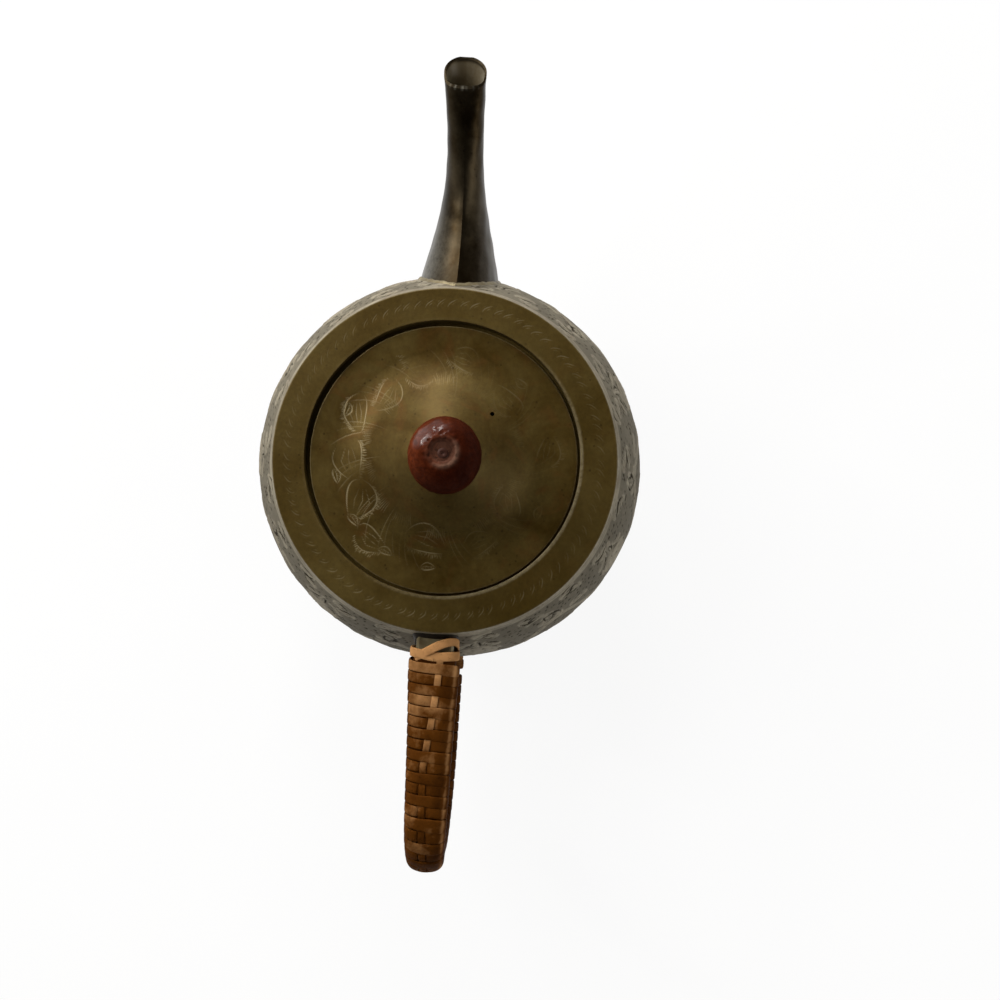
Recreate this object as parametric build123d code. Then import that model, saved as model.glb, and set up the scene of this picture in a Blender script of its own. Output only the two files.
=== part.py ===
from build123d import *
import math
import os

# An antique metal teapot with a lift-off lid, an S-shaped spout and a cane-wrapped handle.
# Its axis is Z, and the table is z = 0. The spout points along +X and the handle along -X. Sizes are in mm.

# Body wall: two arcs that meet upright at the widest line and come in to the shoulder and to the foot
belly_radius = 49.3
belly_height = 28.0
shoulder_inset = 9.3
shoulder_height = 64.0
body_wall = 1.2

# Foot and base
foot_inset = 11.3
foot_height = 4.5
foot_flare = 0.9
foot_thickness = 1.4
base_thickness = 1.2

# Shoulder plate, with the round opening that the lid lies in
plate_thickness = 1.2
plate_rise = 0.6
plate_width = 8.1

# Ledge and neck that hold the lid
recess_depth = 2.3
seat_thickness = 1.2
ledge_width = 3.9
neck_wall = 1.0
neck_depth = 6.2

# Strainer holes in the wall behind the spout
strainer_hole_radius = 1.1
strainer_pitch = 4.2
strainer_columns = 3
strainer_rows = 5
strainer_height = 40.0

# Lid: a flat border, a hollow curve, a straight cone and a rounded crown
rim_clearance = 0.85
seat_clearance = 0.05
lid_thickness = 1.1
border_width = 6.0
cone_foot_radius = 16.5
cone_top_radius = 9.0
crown_radius = 5.0
border_slope = 4.0
cone_slope = 40.0
crown_slope = 25.0
flange_thickness = 1.0
flange_depth = 5.4
flange_clearance = 0.6
flange_running_gap = 0.25
lid_lie_direction = 225.0
vent_radius = 0.5
vent_place = (11.1, -10.2)

# Knob: washer, drilled bead, riveted pin and the burr under the lid
knob_off_centre = 0.8
washer_radius = 4.3
washer_thickness = 1.3
washer_cup_radius = 3.7
bead_radius = 7.9
bead_foot_radius = 4.6
bead_top_radius = 3.1
bead_waist_height = 7.4
bead_height = 15.0
crater_depth = 0.9
crater_floor_radius = 2.1
pin_radius = 0.8
pin_head_radius = 1.25
pin_head_height = 0.45
pin_running_clearance = 0.05
burr_radius = 3.4
burr_thickness = 0.8

# Spout: a curve from the root inside the belly to the tip, and its oval sections. The tip and the mouth
# are given by how far they stand out from the belly and above the shoulder.
spout_wall = 0.85
spout_root_rise = 13.3
spout_root_pull = 16.0
spout_root_angle = 7.0
spout_tip_reach = 42.0
spout_tip_rise = 9.3
spout_tip_angle = 47.0
spout_tip_pull = 16.0
mouth_reach = 39.0
mouth_rise = 6.0
mouth_slope = 14.0
# Each station: how far along the curve, width, height, height of the ridge along the top, fullness of the top
spout_stations = [
    (0.00, 23.2, 40.0, 2.6, 0.60),
    (0.15, 18.5, 32.0, 2.2, 0.60),
    (0.30, 14.0, 23.0, 1.5, 0.58),
    (0.45, 10.4, 14.8, 0.8, 0.56),
    (0.62, 8.8, 9.6, 0.2, 0.62),
    (0.80, 9.1, 7.6, 0.0, 0.80),
    (1.00, 10.2, 7.4, 0.0, 1.00),
]

# Handle: a flat oval bar bent into a loop that lies on its side
handle_projection = 46.8
upper_arm_drop = 5.2
lower_arm_height = 21.5
handle_bend_radius = 14.0
core_width = 6.8
core_thickness = 4.1
root_width = 8.8
root_thickness = 5.2
root_corner = 0.9
upper_root_length = 4.0
lower_root_length = 4.15
core_tenon = 1.6

# Cane: the lengthwise rib in the bar's outer face, the winding over both and the ties at the ends
rib_thickness = 0.7
cane_diameter = 1.55
cane_pitch = 2.55
cane_clearance = 0.15
winding_end_gap = 0.2
tie_thickness = 0.8
tie_width = 2.3
tie_clearance = 0.1
tie_angle = 38.0

# Places that follow from the sizes above
shoulder_radius = belly_radius - shoulder_inset
foot_radius = belly_radius - foot_inset
opening_radius = shoulder_radius - plate_width
neck_radius = opening_radius - ledge_width
handle_reach = belly_radius + handle_projection
upper_arm_height = shoulder_height - upper_arm_drop
plate_underside = shoulder_height - plate_thickness
plate_inner_top = shoulder_height + plate_rise
ledge_height = plate_inner_top - recess_depth
lid_underside = ledge_height + seat_clearance
lid_radius = opening_radius - rim_clearance
border_radius = lid_radius - border_width
flange_radius = neck_radius - flange_clearance
lid_lie = flange_clearance - flange_running_gap
lid_axis = Location((
    lid_lie * math.cos(math.radians(lid_lie_direction)),
    lid_lie * math.sin(math.radians(lid_lie_direction)),
    0.0,
))
knob_axis = lid_axis * Location((0.0, -knob_off_centre, 0.0))

# Larger than anything here, for cutting tools that must reach past the whole pot
beyond = 4.0 * belly_radius

# Share of a quarter oval's half axis at which a curve's inner control point makes it round
roundness = 0.5523


def sine(degrees):
    """The sine of an angle in degrees."""
    return math.sin(math.radians(degrees))


def cosine(degrees):
    """The cosine of an angle in degrees."""
    return math.cos(math.radians(degrees))


def polygon(points):
    """A flat face in the XZ plane through points given as radius and height."""
    corners = [Vector(radius, 0.0, height) for radius, height in points]
    return Face(Wire([Edge.make_line(a, b) for a, b in zip(corners, corners[1:] + corners[:1])]))


def turned(face):
    """The solid that a face in the XZ plane makes when it turns once about the Z axis."""
    return revolve(face, Axis.Z, 360)


def disc(radius, low, high):
    """A round disc on the Z axis between two heights."""
    return turned(polygon([(0.0, low), (radius, low), (radius, high), (0.0, high)]))


def ring(inner, outer, low, high):
    """A plain ring on the Z axis between two heights."""
    return turned(polygon([(inner, low), (outer, low), (outer, high), (inner, high)]))


def bulge_radius(reach, rise):
    """Radius of the arc that starts upright and comes in by reach over a height of rise."""
    return (reach ** 2 + rise ** 2) / (2.0 * reach)


upper_bulge = bulge_radius(belly_radius - shoulder_radius, plate_underside - belly_height)
lower_bulge = bulge_radius(belly_radius - foot_radius, belly_height - foot_height)


def belly_at(height, inset=0.0):
    """Radius of the body wall's outside at a height, or of a surface that lies inset inside it."""
    bulge = upper_bulge if height >= belly_height else lower_bulge
    return belly_radius - bulge + math.sqrt((bulge - inset) ** 2 - (height - belly_height) ** 2)


upper_root_end = belly_at(upper_arm_height) + upper_root_length
lower_root_end = belly_at(lower_arm_height) + lower_root_length


def belly_edges(inset):
    """The two arcs of the body wall from the foot up to the shoulder plate, drawn in by inset."""
    heights = [
        (foot_height, (foot_height + belly_height) / 2, belly_height),
        (belly_height, (belly_height + plate_underside) / 2, plate_underside),
    ]
    return [
        Edge.make_three_point_arc(*[Vector(belly_at(height, inset), 0.0, height) for height in arc])
        for arc in heights
    ]


def belly_solid(inset):
    """The filled body inside a surface that lies inset inside the wall's outside."""
    arcs = belly_edges(inset)
    bottom, top = arcs[0] @ 0, arcs[1] @ 1
    low, high = Vector(0.0, 0.0, bottom.Z), Vector(0.0, 0.0, top.Z)
    closing = [Edge.make_line(top, high), Edge.make_line(high, low), Edge.make_line(low, bottom)]
    return turned(Face(Wire(arcs + closing)))


def make_belly_shell():
    """Body wall with the strainer holes pierced behind the spout."""
    shell = belly_solid(0.0) - belly_solid(body_wall)
    holes = []
    for row in range(strainer_rows):
        shift = 0.5 * (row % 2)
        count = strainer_columns - row % 2
        height = strainer_height + (row - (strainer_rows - 1) / 2) * strainer_pitch * sine(60)
        for column in range(count):
            across = (column + shift - (strainer_columns - 1) / 2) * strainer_pitch
            drill = Plane(origin=(0, across, height), x_dir=(0, 1, 0), z_dir=(1, 0, 0))
            holes.append(drill * extrude(Circle(strainer_hole_radius), beyond))
    return shell - holes


def make_foot_ring():
    """Foot ring under the body wall, flared a little towards the table."""
    inner = foot_radius - foot_thickness
    outline = [
        (inner, 0.0),
        (foot_radius + foot_flare, 0.0),
        (foot_radius, foot_height),
        (inner, foot_height),
    ]
    return turned(polygon(outline))


def make_base_plate():
    """Flat bottom, let into the foot ring flush with the table."""
    return disc(foot_radius - foot_thickness, 0.0, base_thickness)


def make_shoulder_plate():
    """Top plate that rises a little from its sharp outer edge to the lid opening."""
    inner_underside = plate_inner_top - plate_thickness
    outline = [
        (opening_radius, inner_underside),
        (shoulder_radius, plate_underside),
        (shoulder_radius, shoulder_height),
        (opening_radius, plate_inner_top),
    ]
    return turned(polygon(outline))


def make_lid_seat():
    """Ring under the shoulder plate: the recess wall, the ledge and the short neck below it."""
    inner_underside = plate_inner_top - plate_thickness
    ledge_underside = ledge_height - seat_thickness
    outer = opening_radius + seat_thickness
    neck_bottom = ledge_height - neck_depth
    slope = plate_rise / (shoulder_radius - opening_radius)
    outline = [
        (opening_radius, inner_underside),
        (opening_radius, ledge_height),
        (neck_radius, ledge_height),
        (neck_radius, neck_bottom),
        (neck_radius + neck_wall, neck_bottom),
        (neck_radius + neck_wall, ledge_underside),
        (outer, ledge_underside),
        (outer, inner_underside - slope * seat_thickness),
    ]
    return turned(polygon(outline))


def lid_outline():
    """Edges of the lid's upper side from its border to the crown, and the height of the crown."""
    base = lid_underside + lid_thickness
    hollow = (border_radius - cone_foot_radius) / (sine(cone_slope) - sine(border_slope))
    crown = (cone_top_radius - crown_radius) / (sine(cone_slope) - sine(crown_slope))
    middle_slope = (border_slope + cone_slope) / 2
    crown_middle = (cone_slope + crown_slope) / 2

    def on_hollow(slope):
        reach = hollow * (sine(slope) - sine(border_slope))
        return Vector(border_radius - reach, 0.0, base + hollow * (cosine(border_slope) - cosine(slope)))

    cone_foot = on_hollow(cone_slope)
    cone_top_height = cone_foot.Z + (cone_foot_radius - cone_top_radius) * math.tan(math.radians(cone_slope))
    cone_top = Vector(cone_top_radius, 0.0, cone_top_height)

    def on_crown(slope):
        reach = crown * (sine(cone_slope) - sine(slope))
        rise = crown * (cosine(slope) - cosine(cone_slope))
        return Vector(cone_top_radius - reach, 0.0, cone_top_height + rise)

    crown_edge = on_crown(crown_slope)
    edges = [
        Edge.make_line(Vector(lid_radius, 0.0, base), on_hollow(border_slope)),
        Edge.make_three_point_arc(on_hollow(border_slope), on_hollow(middle_slope), cone_foot),
        Edge.make_line(cone_foot, cone_top),
        Edge.make_three_point_arc(cone_top, on_crown(crown_middle), crown_edge),
        Edge.make_line(crown_edge, Vector(0.0, 0.0, crown_edge.Z)),
    ]
    return edges, crown_edge.Z


lid_edges, lid_top = lid_outline()
bead_base = lid_top + washer_thickness + pin_running_clearance
crater_floor = bead_base + bead_height - crater_depth


def make_lid_dome():
    """Lid of even height through its wall, drilled for the knob pin and for a small steam vent."""
    below = [edge.moved(Location((0, 0, -lid_thickness))) for edge in lid_edges]
    rim = Edge.make_line(below[0] @ 0, lid_edges[0] @ 0)
    axis = Edge.make_line(lid_edges[-1] @ 1, below[-1] @ 1)
    dome = lid_axis * turned(Face(Wire(lid_edges + [axis] + below + [rim])))
    pin_hole = knob_axis * disc(pin_radius, 0.0, beyond)
    vent_hole = lid_axis * Location((*vent_place, 0.0)) * disc(vent_radius, 0.0, beyond)
    return dome - pin_hole - vent_hole


def make_lid_flange():
    """Ring under the lid's border that keeps the lid in the neck."""
    bottom = lid_underside - flange_depth
    return lid_axis * ring(flange_radius - flange_thickness, flange_radius, bottom, lid_underside)


def make_knob_washer():
    """Cupped washer between the lid and the bead."""
    top = lid_top + washer_thickness
    outline = [
        (pin_radius, lid_top),
        (washer_radius, lid_top),
        (washer_radius, lid_top + washer_thickness / 2),
        (washer_cup_radius, top),
        (pin_radius, top),
    ]
    return knob_axis * turned(polygon(outline))


def make_knob_bead():
    """Drilled bead, widest below its middle, with a worn crater round the hole in its top."""
    hole = pin_radius + pin_running_clearance
    lower = bulge_radius(bead_radius - bead_foot_radius, bead_waist_height)
    upper = bulge_radius(bead_radius - bead_top_radius, bead_height - bead_waist_height)

    def side(height, bulge):
        out = bead_radius - bulge + math.sqrt(bulge ** 2 - (height - bead_waist_height) ** 2)
        return Vector(out, 0.0, bead_base + height)

    foot, waist, top = side(0.0, lower), side(bead_waist_height, lower), side(bead_height, upper)
    corners = [
        top,
        Vector(crater_floor_radius, 0.0, crater_floor),
        Vector(hole, 0.0, crater_floor),
        Vector(hole, 0.0, bead_base),
        foot,
    ]
    edges = [
        Edge.make_three_point_arc(foot, side(bead_waist_height / 2, lower), waist),
        Edge.make_three_point_arc(waist, side((bead_waist_height + bead_height) / 2, upper), top),
    ]
    edges += [Edge.make_line(a, b) for a, b in zip(corners, corners[1:])]
    return knob_axis * turned(Face(Wire(edges)))


def make_knob_pin():
    """Riveted pin through the bead, the washer, the lid and the burr, with a head at each end."""
    burr_bottom = lid_top - lid_thickness - burr_thickness
    head_bottom = crater_floor + pin_running_clearance
    shank = disc(pin_radius, burr_bottom, head_bottom)
    upper_head = disc(pin_head_radius, head_bottom, head_bottom + pin_head_height)
    lower_head = disc(pin_head_radius, burr_bottom - pin_head_height, burr_bottom)
    return knob_axis * (shank + upper_head + lower_head)


def make_knob_burr():
    """Washer under the lid over which the pin is riveted."""
    top = lid_top - lid_thickness
    return knob_axis * ring(pin_radius, burr_radius, top - burr_thickness, top)


spout_root = Vector(shoulder_radius, 0.0, belly_height + spout_root_rise)
spout_end = Vector(belly_radius + spout_tip_reach, 0.0, shoulder_height + spout_tip_rise)
spout_tip_direction = Vector(cosine(spout_tip_angle), 0.0, sine(spout_tip_angle))
spout_line = Edge.make_bezier(
    spout_root,
    spout_root + Vector(cosine(spout_root_angle), 0.0, sine(spout_root_angle)) * spout_root_pull,
    spout_end - spout_tip_direction * spout_tip_pull,
    spout_end,
)


def spout_section(along, width, height, ridge, fullness, inset):
    """One oval section of the spout, square to its curve, drawn in by inset, with a ridge on top."""
    half_width, half_height = width / 2 - inset, height / 2 - inset
    side, over = roundness * half_height, fullness * half_width
    right = Bezier((half_width, 0), (half_width, side), (over, half_height - ridge), (0, half_height))
    left = Bezier((0, half_height), (-over, half_height - ridge), (-half_width, side), (-half_width, 0))
    under = roundness * half_width
    low_left = Bezier((-half_width, 0), (-half_width, -side), (-under, -half_height), (0, -half_height))
    low_right = Bezier((0, -half_height), (under, -half_height), (half_width, -side), (half_width, 0))
    plane = Plane(origin=spout_line @ along, x_dir=(0, 1, 0), z_dir=spout_line % along)
    return plane * make_face([right, left, low_left, low_right])


def spout_solid(inset):
    """The spout as a filled form, drawn in by inset, from inside the belly to past the mouth."""
    return loft([spout_section(*station, inset) for station in spout_stations])


def make_spout():
    """Hollow spout, cut to the body wall and at the mouth."""
    tube = spout_solid(0.0) - spout_solid(spout_wall) - belly_solid(0.0)
    mouth_centre = (belly_radius + mouth_reach, 0.0, shoulder_height + mouth_rise)
    mouth = Location(mouth_centre, (0.0, mouth_slope, 0.0))
    above = mouth * Box(beyond, beyond, beyond, align=(Align.CENTER, Align.CENTER, Align.MIN))
    behind = Box(beyond, beyond, beyond, align=(Align.MAX, Align.CENTER, Align.CENTER))
    return tube - above - behind


def spout_half(spout, side):
    """The half of the spout on one side of the seam: side is 1 for +Y and -1 for -Y."""
    align = Align.MIN if side > 0 else Align.MAX
    return spout & Box(beyond, beyond, beyond, align=(Align.CENTER, align, Align.CENTER))


bend_start = handle_reach - handle_bend_radius
bend_length = handle_bend_radius * math.pi / 2
upright_length = upper_arm_height - lower_arm_height - 2 * handle_bend_radius


def handle_line(upper_start, lower_start):
    """Path of the handle bar from one radius on the upper arm round to one on the lower arm."""
    upper_corner = Vector(-bend_start, 0.0, upper_arm_height)
    lower_corner = Vector(-bend_start, 0.0, lower_arm_height)
    back_top = Vector(-handle_reach, 0.0, upper_arm_height - handle_bend_radius)
    back_bottom = Vector(-handle_reach, 0.0, lower_arm_height + handle_bend_radius)
    return Wire([
        Edge.make_line(Vector(-upper_start, 0.0, upper_arm_height), upper_corner),
        Edge.make_tangent_arc(upper_corner, Vector(-1, 0, 0), back_top),
        Edge.make_line(back_top, back_bottom),
        Edge.make_tangent_arc(back_bottom, Vector(0, 0, -1), lower_corner),
        Edge.make_line(lower_corner, Vector(-lower_start, 0.0, lower_arm_height)),
    ])


def handle_frame(start, distance):
    """Point on the handle's line and the outward direction there, a distance past radius start."""
    straight = bend_start - start
    outward = Vector(0, 0, 1)
    if distance <= straight:
        return Vector(-(start + distance), 0.0, upper_arm_height), outward
    distance -= straight
    centre = Vector(-bend_start, 0.0, upper_arm_height - handle_bend_radius)
    if distance <= bend_length:
        turn = distance / handle_bend_radius
        outward = Vector(-math.sin(turn), 0.0, math.cos(turn))
        return centre + outward * handle_bend_radius, outward
    distance -= bend_length
    if distance <= upright_length:
        return Vector(-handle_reach, 0.0, centre.Z - distance), Vector(-1, 0, 0)
    distance -= upright_length
    centre = Vector(-bend_start, 0.0, lower_arm_height + handle_bend_radius)
    if distance <= bend_length:
        turn = distance / handle_bend_radius
        outward = Vector(-math.cos(turn), 0.0, -math.sin(turn))
        return centre + outward * handle_bend_radius, outward
    distance -= bend_length
    return Vector(-(bend_start - distance), 0.0, lower_arm_height), Vector(0, 0, -1)


def bar_section(start, keep_rib):
    """Oval section of the handle at its upper start: the rib's slice of it, or the rest of it."""
    plane = Plane(origin=(-start, 0, upper_arm_height), x_dir=(0, 1, 0), z_dir=(-1, 0, 0))
    slice_height = core_thickness / 2 - rib_thickness
    slab = Pos(0, -slice_height) * Rectangle(beyond, beyond, align=(Align.CENTER, Align.MAX))
    oval = Ellipse(core_width / 2, core_thickness / 2)
    return plane * ((oval & slab) if keep_rib else (oval - slab))


def make_handle_core():
    """Bent bar from inside the upper root to inside the lower root."""
    upper, lower = upper_root_end - core_tenon, lower_root_end - core_tenon
    return sweep(bar_section(upper, False), path=handle_line(upper, lower))


def make_cane_rib():
    """Lengthwise strip of cane that lies in the bar's outer face between the roots."""
    return sweep(bar_section(upper_root_end, True), path=handle_line(upper_root_end, lower_root_end))


def make_handle_root(arm_height, root_end, core):
    """Lug between the body wall and the cane, with a socket for the end of the bar."""
    plane = Plane(origin=(-root_end, 0, arm_height), x_dir=(0, 1, 0), z_dir=(1, 0, 0))
    section = RectangleRounded(root_width, root_thickness, root_corner)
    lug = plane * extrude(section, root_end - belly_radius / 2)
    return lug - belly_solid(0.0) - core


def winding_point(turn):
    """Point of the winding's centre line after a number of turns, counted from the upper root."""
    start = upper_root_end + winding_end_gap + cane_diameter / 2
    half_width = core_width / 2 + cane_clearance + cane_diameter / 2
    half_height = core_thickness / 2 + cane_clearance + cane_diameter / 2
    centre, outward = handle_frame(start, turn * cane_pitch)
    angle = 2 * math.pi * turn
    return centre + Vector(0, half_width * math.sin(angle), 0) - outward * (half_height * math.cos(angle))


def winding_direction(turn):
    """Direction of the winding's centre line after a number of turns."""
    step = 1e-4
    return (winding_point(turn + step) - winding_point(turn - step)).normalized()


def biarc(start, start_direction, end, end_direction):
    """Two arcs that join two points and keep the directions at both."""
    span = end - start
    both = start_direction + end_direction
    spread = 2 * (1 - start_direction.dot(end_direction))
    lean = span.dot(both)
    pull = (math.sqrt(lean ** 2 + spread * span.dot(span)) - lean) / spread
    first, second = start + start_direction * pull, end - end_direction * pull
    middle = (first + second) * 0.5
    return [
        Edge.make_tangent_arc(start, start_direction, middle),
        Edge.make_tangent_arc(middle, (second - first).normalized(), end),
    ]


def make_winding(first_turn, last_turn, lead_in=0.0, lead_out=0.0):
    """One unbroken round strand from one turn to another, four pairs of arcs a turn."""
    quarters = round((last_turn - first_turn) * 4)
    turns = [first_turn + quarter / 4 for quarter in range(quarters + 1)]
    edges = []
    for a, b in zip(turns, turns[1:]):
        edges += biarc(winding_point(a), winding_direction(a), winding_point(b), winding_direction(b))
    start, end = winding_point(first_turn), winding_point(last_turn)
    if lead_in > 0:
        outside = start - winding_direction(first_turn) * lead_in
        edges.insert(0, Edge.make_line(outside, start))
        start = outside
    if lead_out > 0:
        edges.append(Edge.make_line(end, end + winding_direction(last_turn) * lead_out))
    profile = Plane(origin=start, z_dir=winding_direction(first_turn)) * Circle(cane_diameter / 2)
    return sweep(profile, path=Wire(edges))


def winding_gap(first_turn, last_turn):
    """Least gap between one turn of the winding and the next."""
    steps = 48
    count = round((last_turn - first_turn) * steps)
    points = [winding_point(first_turn + index / steps) for index in range(count + 1)]
    nearest = min(
        (points[index] - points[other]).length
        for index in range(count + 1)
        for other in range(index + steps // 2, min(index + 2 * steps, count + 1))
    )
    return nearest - cane_diameter


def make_tie(arm_height, root_end):
    """Cane strip across the root beside the winding, with a branch that crosses the root's top aslant."""
    def sleeve(grow):
        plane = Plane(origin=(-root_end, 0, arm_height), x_dir=(0, 1, 0), z_dir=(1, 0, 0))
        section = RectangleRounded(root_width + 2 * grow, root_thickness + 2 * grow, root_corner + grow)
        return plane * extrude(section, root_end - belly_radius / 2)

    band = sleeve(tie_clearance + tie_thickness) - sleeve(tie_clearance) - belly_solid(-tie_clearance)
    across = Pos(-root_end + tie_width / 2, 0, arm_height) * Box(tie_width, beyond, beyond)
    corner = Pos(-root_end + tie_width / 2, root_width / 2, arm_height)
    aslant = corner * Rot(0, 0, -tie_angle) * Box(tie_width, beyond, beyond)
    upper_side = Pos(0, 0, arm_height) * Box(
        beyond, beyond, beyond, align=(Align.CENTER, Align.CENTER, Align.MIN)
    )
    return band & (across + (aslant & upper_side))


def largest(shape):
    """The largest solid of a cut, without the slivers that a curved cut can leave."""
    return max(shape.solids(), key=lambda solid: solid.volume)


winding_length = (
    (bend_start - upper_root_end)
    + 2 * bend_length
    + upright_length
    + (bend_start - lower_root_end)
    - 2 * winding_end_gap
    - cane_diameter
)
all_turns = math.floor(4 * winding_length / cane_pitch) / 4
upper_turns = math.floor((bend_start - upper_root_end) / cane_pitch)
lower_turns = math.floor((bend_start - lower_root_end) / cane_pitch)
stretches = {
    "cane_wrap_upper": (0.0, float(upper_turns)),
    "cane_wrap_bend": (float(upper_turns), all_turns - lower_turns),
    "cane_wrap_lower": (all_turns - lower_turns, all_turns),
}

spout = make_spout()
core = make_handle_core()
parts = {
    "belly_shell": make_belly_shell(),
    "foot_ring": make_foot_ring(),
    "base_plate": make_base_plate(),
    "shoulder_plate": make_shoulder_plate(),
    "lid_seat": make_lid_seat(),
    "spout_left_half": largest(spout_half(spout, 1)),
    "spout_right_half": largest(spout_half(spout, -1)),
    "handle_core": core,
    "handle_root_upper": largest(make_handle_root(upper_arm_height, upper_root_end, core)),
    "handle_root_lower": largest(make_handle_root(lower_arm_height, lower_root_end, core)),
    "cane_rib": make_cane_rib(),
    "cane_tie_upper": largest(make_tie(upper_arm_height, upper_root_end)),
    "cane_tie_lower": largest(make_tie(lower_arm_height, lower_root_end)),
    "lid_dome": make_lid_dome(),
    "lid_flange": make_lid_flange(),
    "knob_washer": make_knob_washer(),
    "knob_bead": make_knob_bead(),
    "knob_pin": make_knob_pin(),
    "knob_burr": make_knob_burr(),
}
for name, (first_turn, last_turn) in stretches.items():
    lead_in = cane_diameter if name == "cane_wrap_upper" else 0.0
    lead_out = cane_diameter if name == "cane_wrap_lower" else 0.0
    parts[name] = make_winding(first_turn, last_turn, lead_in, lead_out)
    print(name, "turns", last_turn - first_turn, "least gap", round(winding_gap(first_turn, last_turn), 3))

os.makedirs("parts", exist_ok=True)
for name, shape in parts.items():
    export_step(shape, f"parts/{name}.step")
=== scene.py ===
"""Looks of an antique metal teapot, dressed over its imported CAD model.

The pot stands on z = 0 with its axis on Z, the spout along +X and the handle along -X. Sizes here are
in millimetres, and each mesh is turned into metres when it is made.
"""

from __future__ import annotations

import logging
import math
from dataclasses import dataclass, field
from enum import Enum
from typing import Callable, Iterable, Sequence

import bpy
import numpy as np
from mathutils import Matrix, Vector

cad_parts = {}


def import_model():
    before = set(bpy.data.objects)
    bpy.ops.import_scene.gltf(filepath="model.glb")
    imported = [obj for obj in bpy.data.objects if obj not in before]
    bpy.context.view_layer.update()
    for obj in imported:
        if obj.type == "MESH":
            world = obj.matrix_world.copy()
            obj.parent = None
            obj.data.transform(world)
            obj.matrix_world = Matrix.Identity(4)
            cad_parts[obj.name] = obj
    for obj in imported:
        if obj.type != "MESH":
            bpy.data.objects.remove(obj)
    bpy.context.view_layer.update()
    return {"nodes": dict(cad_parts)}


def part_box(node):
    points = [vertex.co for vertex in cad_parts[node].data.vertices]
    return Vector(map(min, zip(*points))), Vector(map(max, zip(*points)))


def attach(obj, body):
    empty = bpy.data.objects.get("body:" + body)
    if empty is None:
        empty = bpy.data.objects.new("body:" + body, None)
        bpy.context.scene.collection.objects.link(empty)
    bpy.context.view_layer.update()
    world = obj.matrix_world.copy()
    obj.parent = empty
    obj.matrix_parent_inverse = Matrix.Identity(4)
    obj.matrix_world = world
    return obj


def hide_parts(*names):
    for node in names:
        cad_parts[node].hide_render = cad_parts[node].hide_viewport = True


MM = 0.001
FULL_TURN = 2.0 * math.pi
ACROSS = np.array([0.0, 1.0, 0.0])
# The lid and its opening lie a little to one side, as hand-made ones do.
ASIDE = (0.4, 0.55)
log = logging.getLogger("teapot")

Array, Piece, Socket = np.ndarray, bpy.types.Object, bpy.types.NodeSocket
Colour = tuple[float, float, float]
Depths = Callable[[Array, float, float], tuple[Array, Array]]


class Body(Enum):
    """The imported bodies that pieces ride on."""

    POT = "pot"
    LID = "lid"
    BEAD = "bead"


class Slot(Enum):
    """The record's material slots."""

    BODY = "body_metal"
    TOP = "top_metal"
    SPOUT = "spout_metal"
    HANDLE = "handle_metal"
    PIN = "pin_metal"
    BEAD = "bead"
    CANE = "cane"


class Mark(Enum):
    """Numbers kept on a mesh's points that its finish reads."""

    CUT = "cut"
    WEAR_AND_SHEEN = "wear_and_sheen"
    # Metal bare from use, and also painted highlights and reflections on the spout, the shoulder's rim and
    # the bead's crater.
    ALONG = "along"
    ACROSS = "across"
    # Also holds painted light and shade: the spout's lit inside and the cane's lit and shaded turns.
    TONE = "tone"


def corners(node: str) -> tuple[list[float], list[float]]:
    """Lowest and highest corner of a CAD node, in mm."""
    low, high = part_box(node)
    return (np.array(low) / MM).tolist(), (np.array(high) / MM).tolist()


def upright(node: str) -> tuple[tuple[float, float], float, float, float]:
    """Centre, radius, bottom and top of a round CAD node that stands upright, in mm."""
    low, high = corners(node)
    return (0.5 * (low[0] + high[0]), 0.5 * (low[1] + high[1])), 0.5 * (high[0] - low[0]), low[2], high[2]


def unit(vectors: Array) -> Array:
    """Vectors at unit length."""
    return vectors / np.maximum(np.linalg.norm(vectors, axis=-1, keepdims=True), 1e-9)


def smooth(low: float, high: float, values: Array) -> Array:
    """A rise from 0 to 1 that eases in and out between two values."""
    share = np.clip((values - low) / (high - low), 0.0, 1.0)
    return share * share * (3.0 - 2.0 * share)


def powered(values: Array, power: float) -> Array:
    """A power of the size of values, with their signs kept."""
    return np.sign(values) * np.abs(values) ** power


def swell(values: Array, middle: float, spread: float, power: int = 2) -> Array:
    """A rise to 1 at a middle that fades over a spread."""
    return np.exp(-(((values - middle) / spread) ** power))


def hoop(angles: Array, radius: Array | float, height: Array | float) -> Array:
    """Places at angles on a ring about the Z axis, a row each."""
    return np.stack([radius * np.cos(angles), radius * np.sin(angles), height + 0.0 * angles], 1)


@dataclass(frozen=True)
class Ripple:
    """Soft unevenness of hand-worked metal, a sum of waves in random directions."""

    size: float
    height: float
    seed: int
    waves: int = 9

    def at(self, points: Array) -> Array:
        """Height of the surface at points.

        Args:
            points: places in mm.

        Returns:
            One height for each place.
        """
        random = np.random.default_rng(self.seed)
        total = np.zeros(len(points))
        for _ in range(self.waves):
            direction = unit(random.normal(size=3))
            length = self.size * random.uniform(0.6, 1.6)
            total += np.sin(points @ direction * FULL_TURN / length + random.uniform(0.0, FULL_TURN))
        return total * self.height / math.sqrt(self.waves)


@dataclass
class Skin:
    """Points in mm and faces of a mesh in the making, with a number per point for each mark."""

    points: Array
    faces: list
    marks: dict[Mark, Array] = field(default_factory=dict)

    def mesh(self, name: str, crease: float = 32.0) -> bpy.types.Mesh:
        """The finished mesh, shaded smooth up to an angle.

        Args:
            name: the mesh's name.
            crease: angle in degrees above which an edge is sharp.

        Returns:
            The mesh, in metres.
        """
        mesh = bpy.data.meshes.new(name)
        mesh.from_pydata((self.points * MM).tolist(), [], self.faces)
        for mark, values in self.marks.items():
            attribute = mesh.attributes.new(mark.value, "FLOAT", "POINT")
            attribute.data.foreach_set("value", np.asarray(values, np.float32))
        smooth_shaded(mesh, crease)
        return mesh


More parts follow.
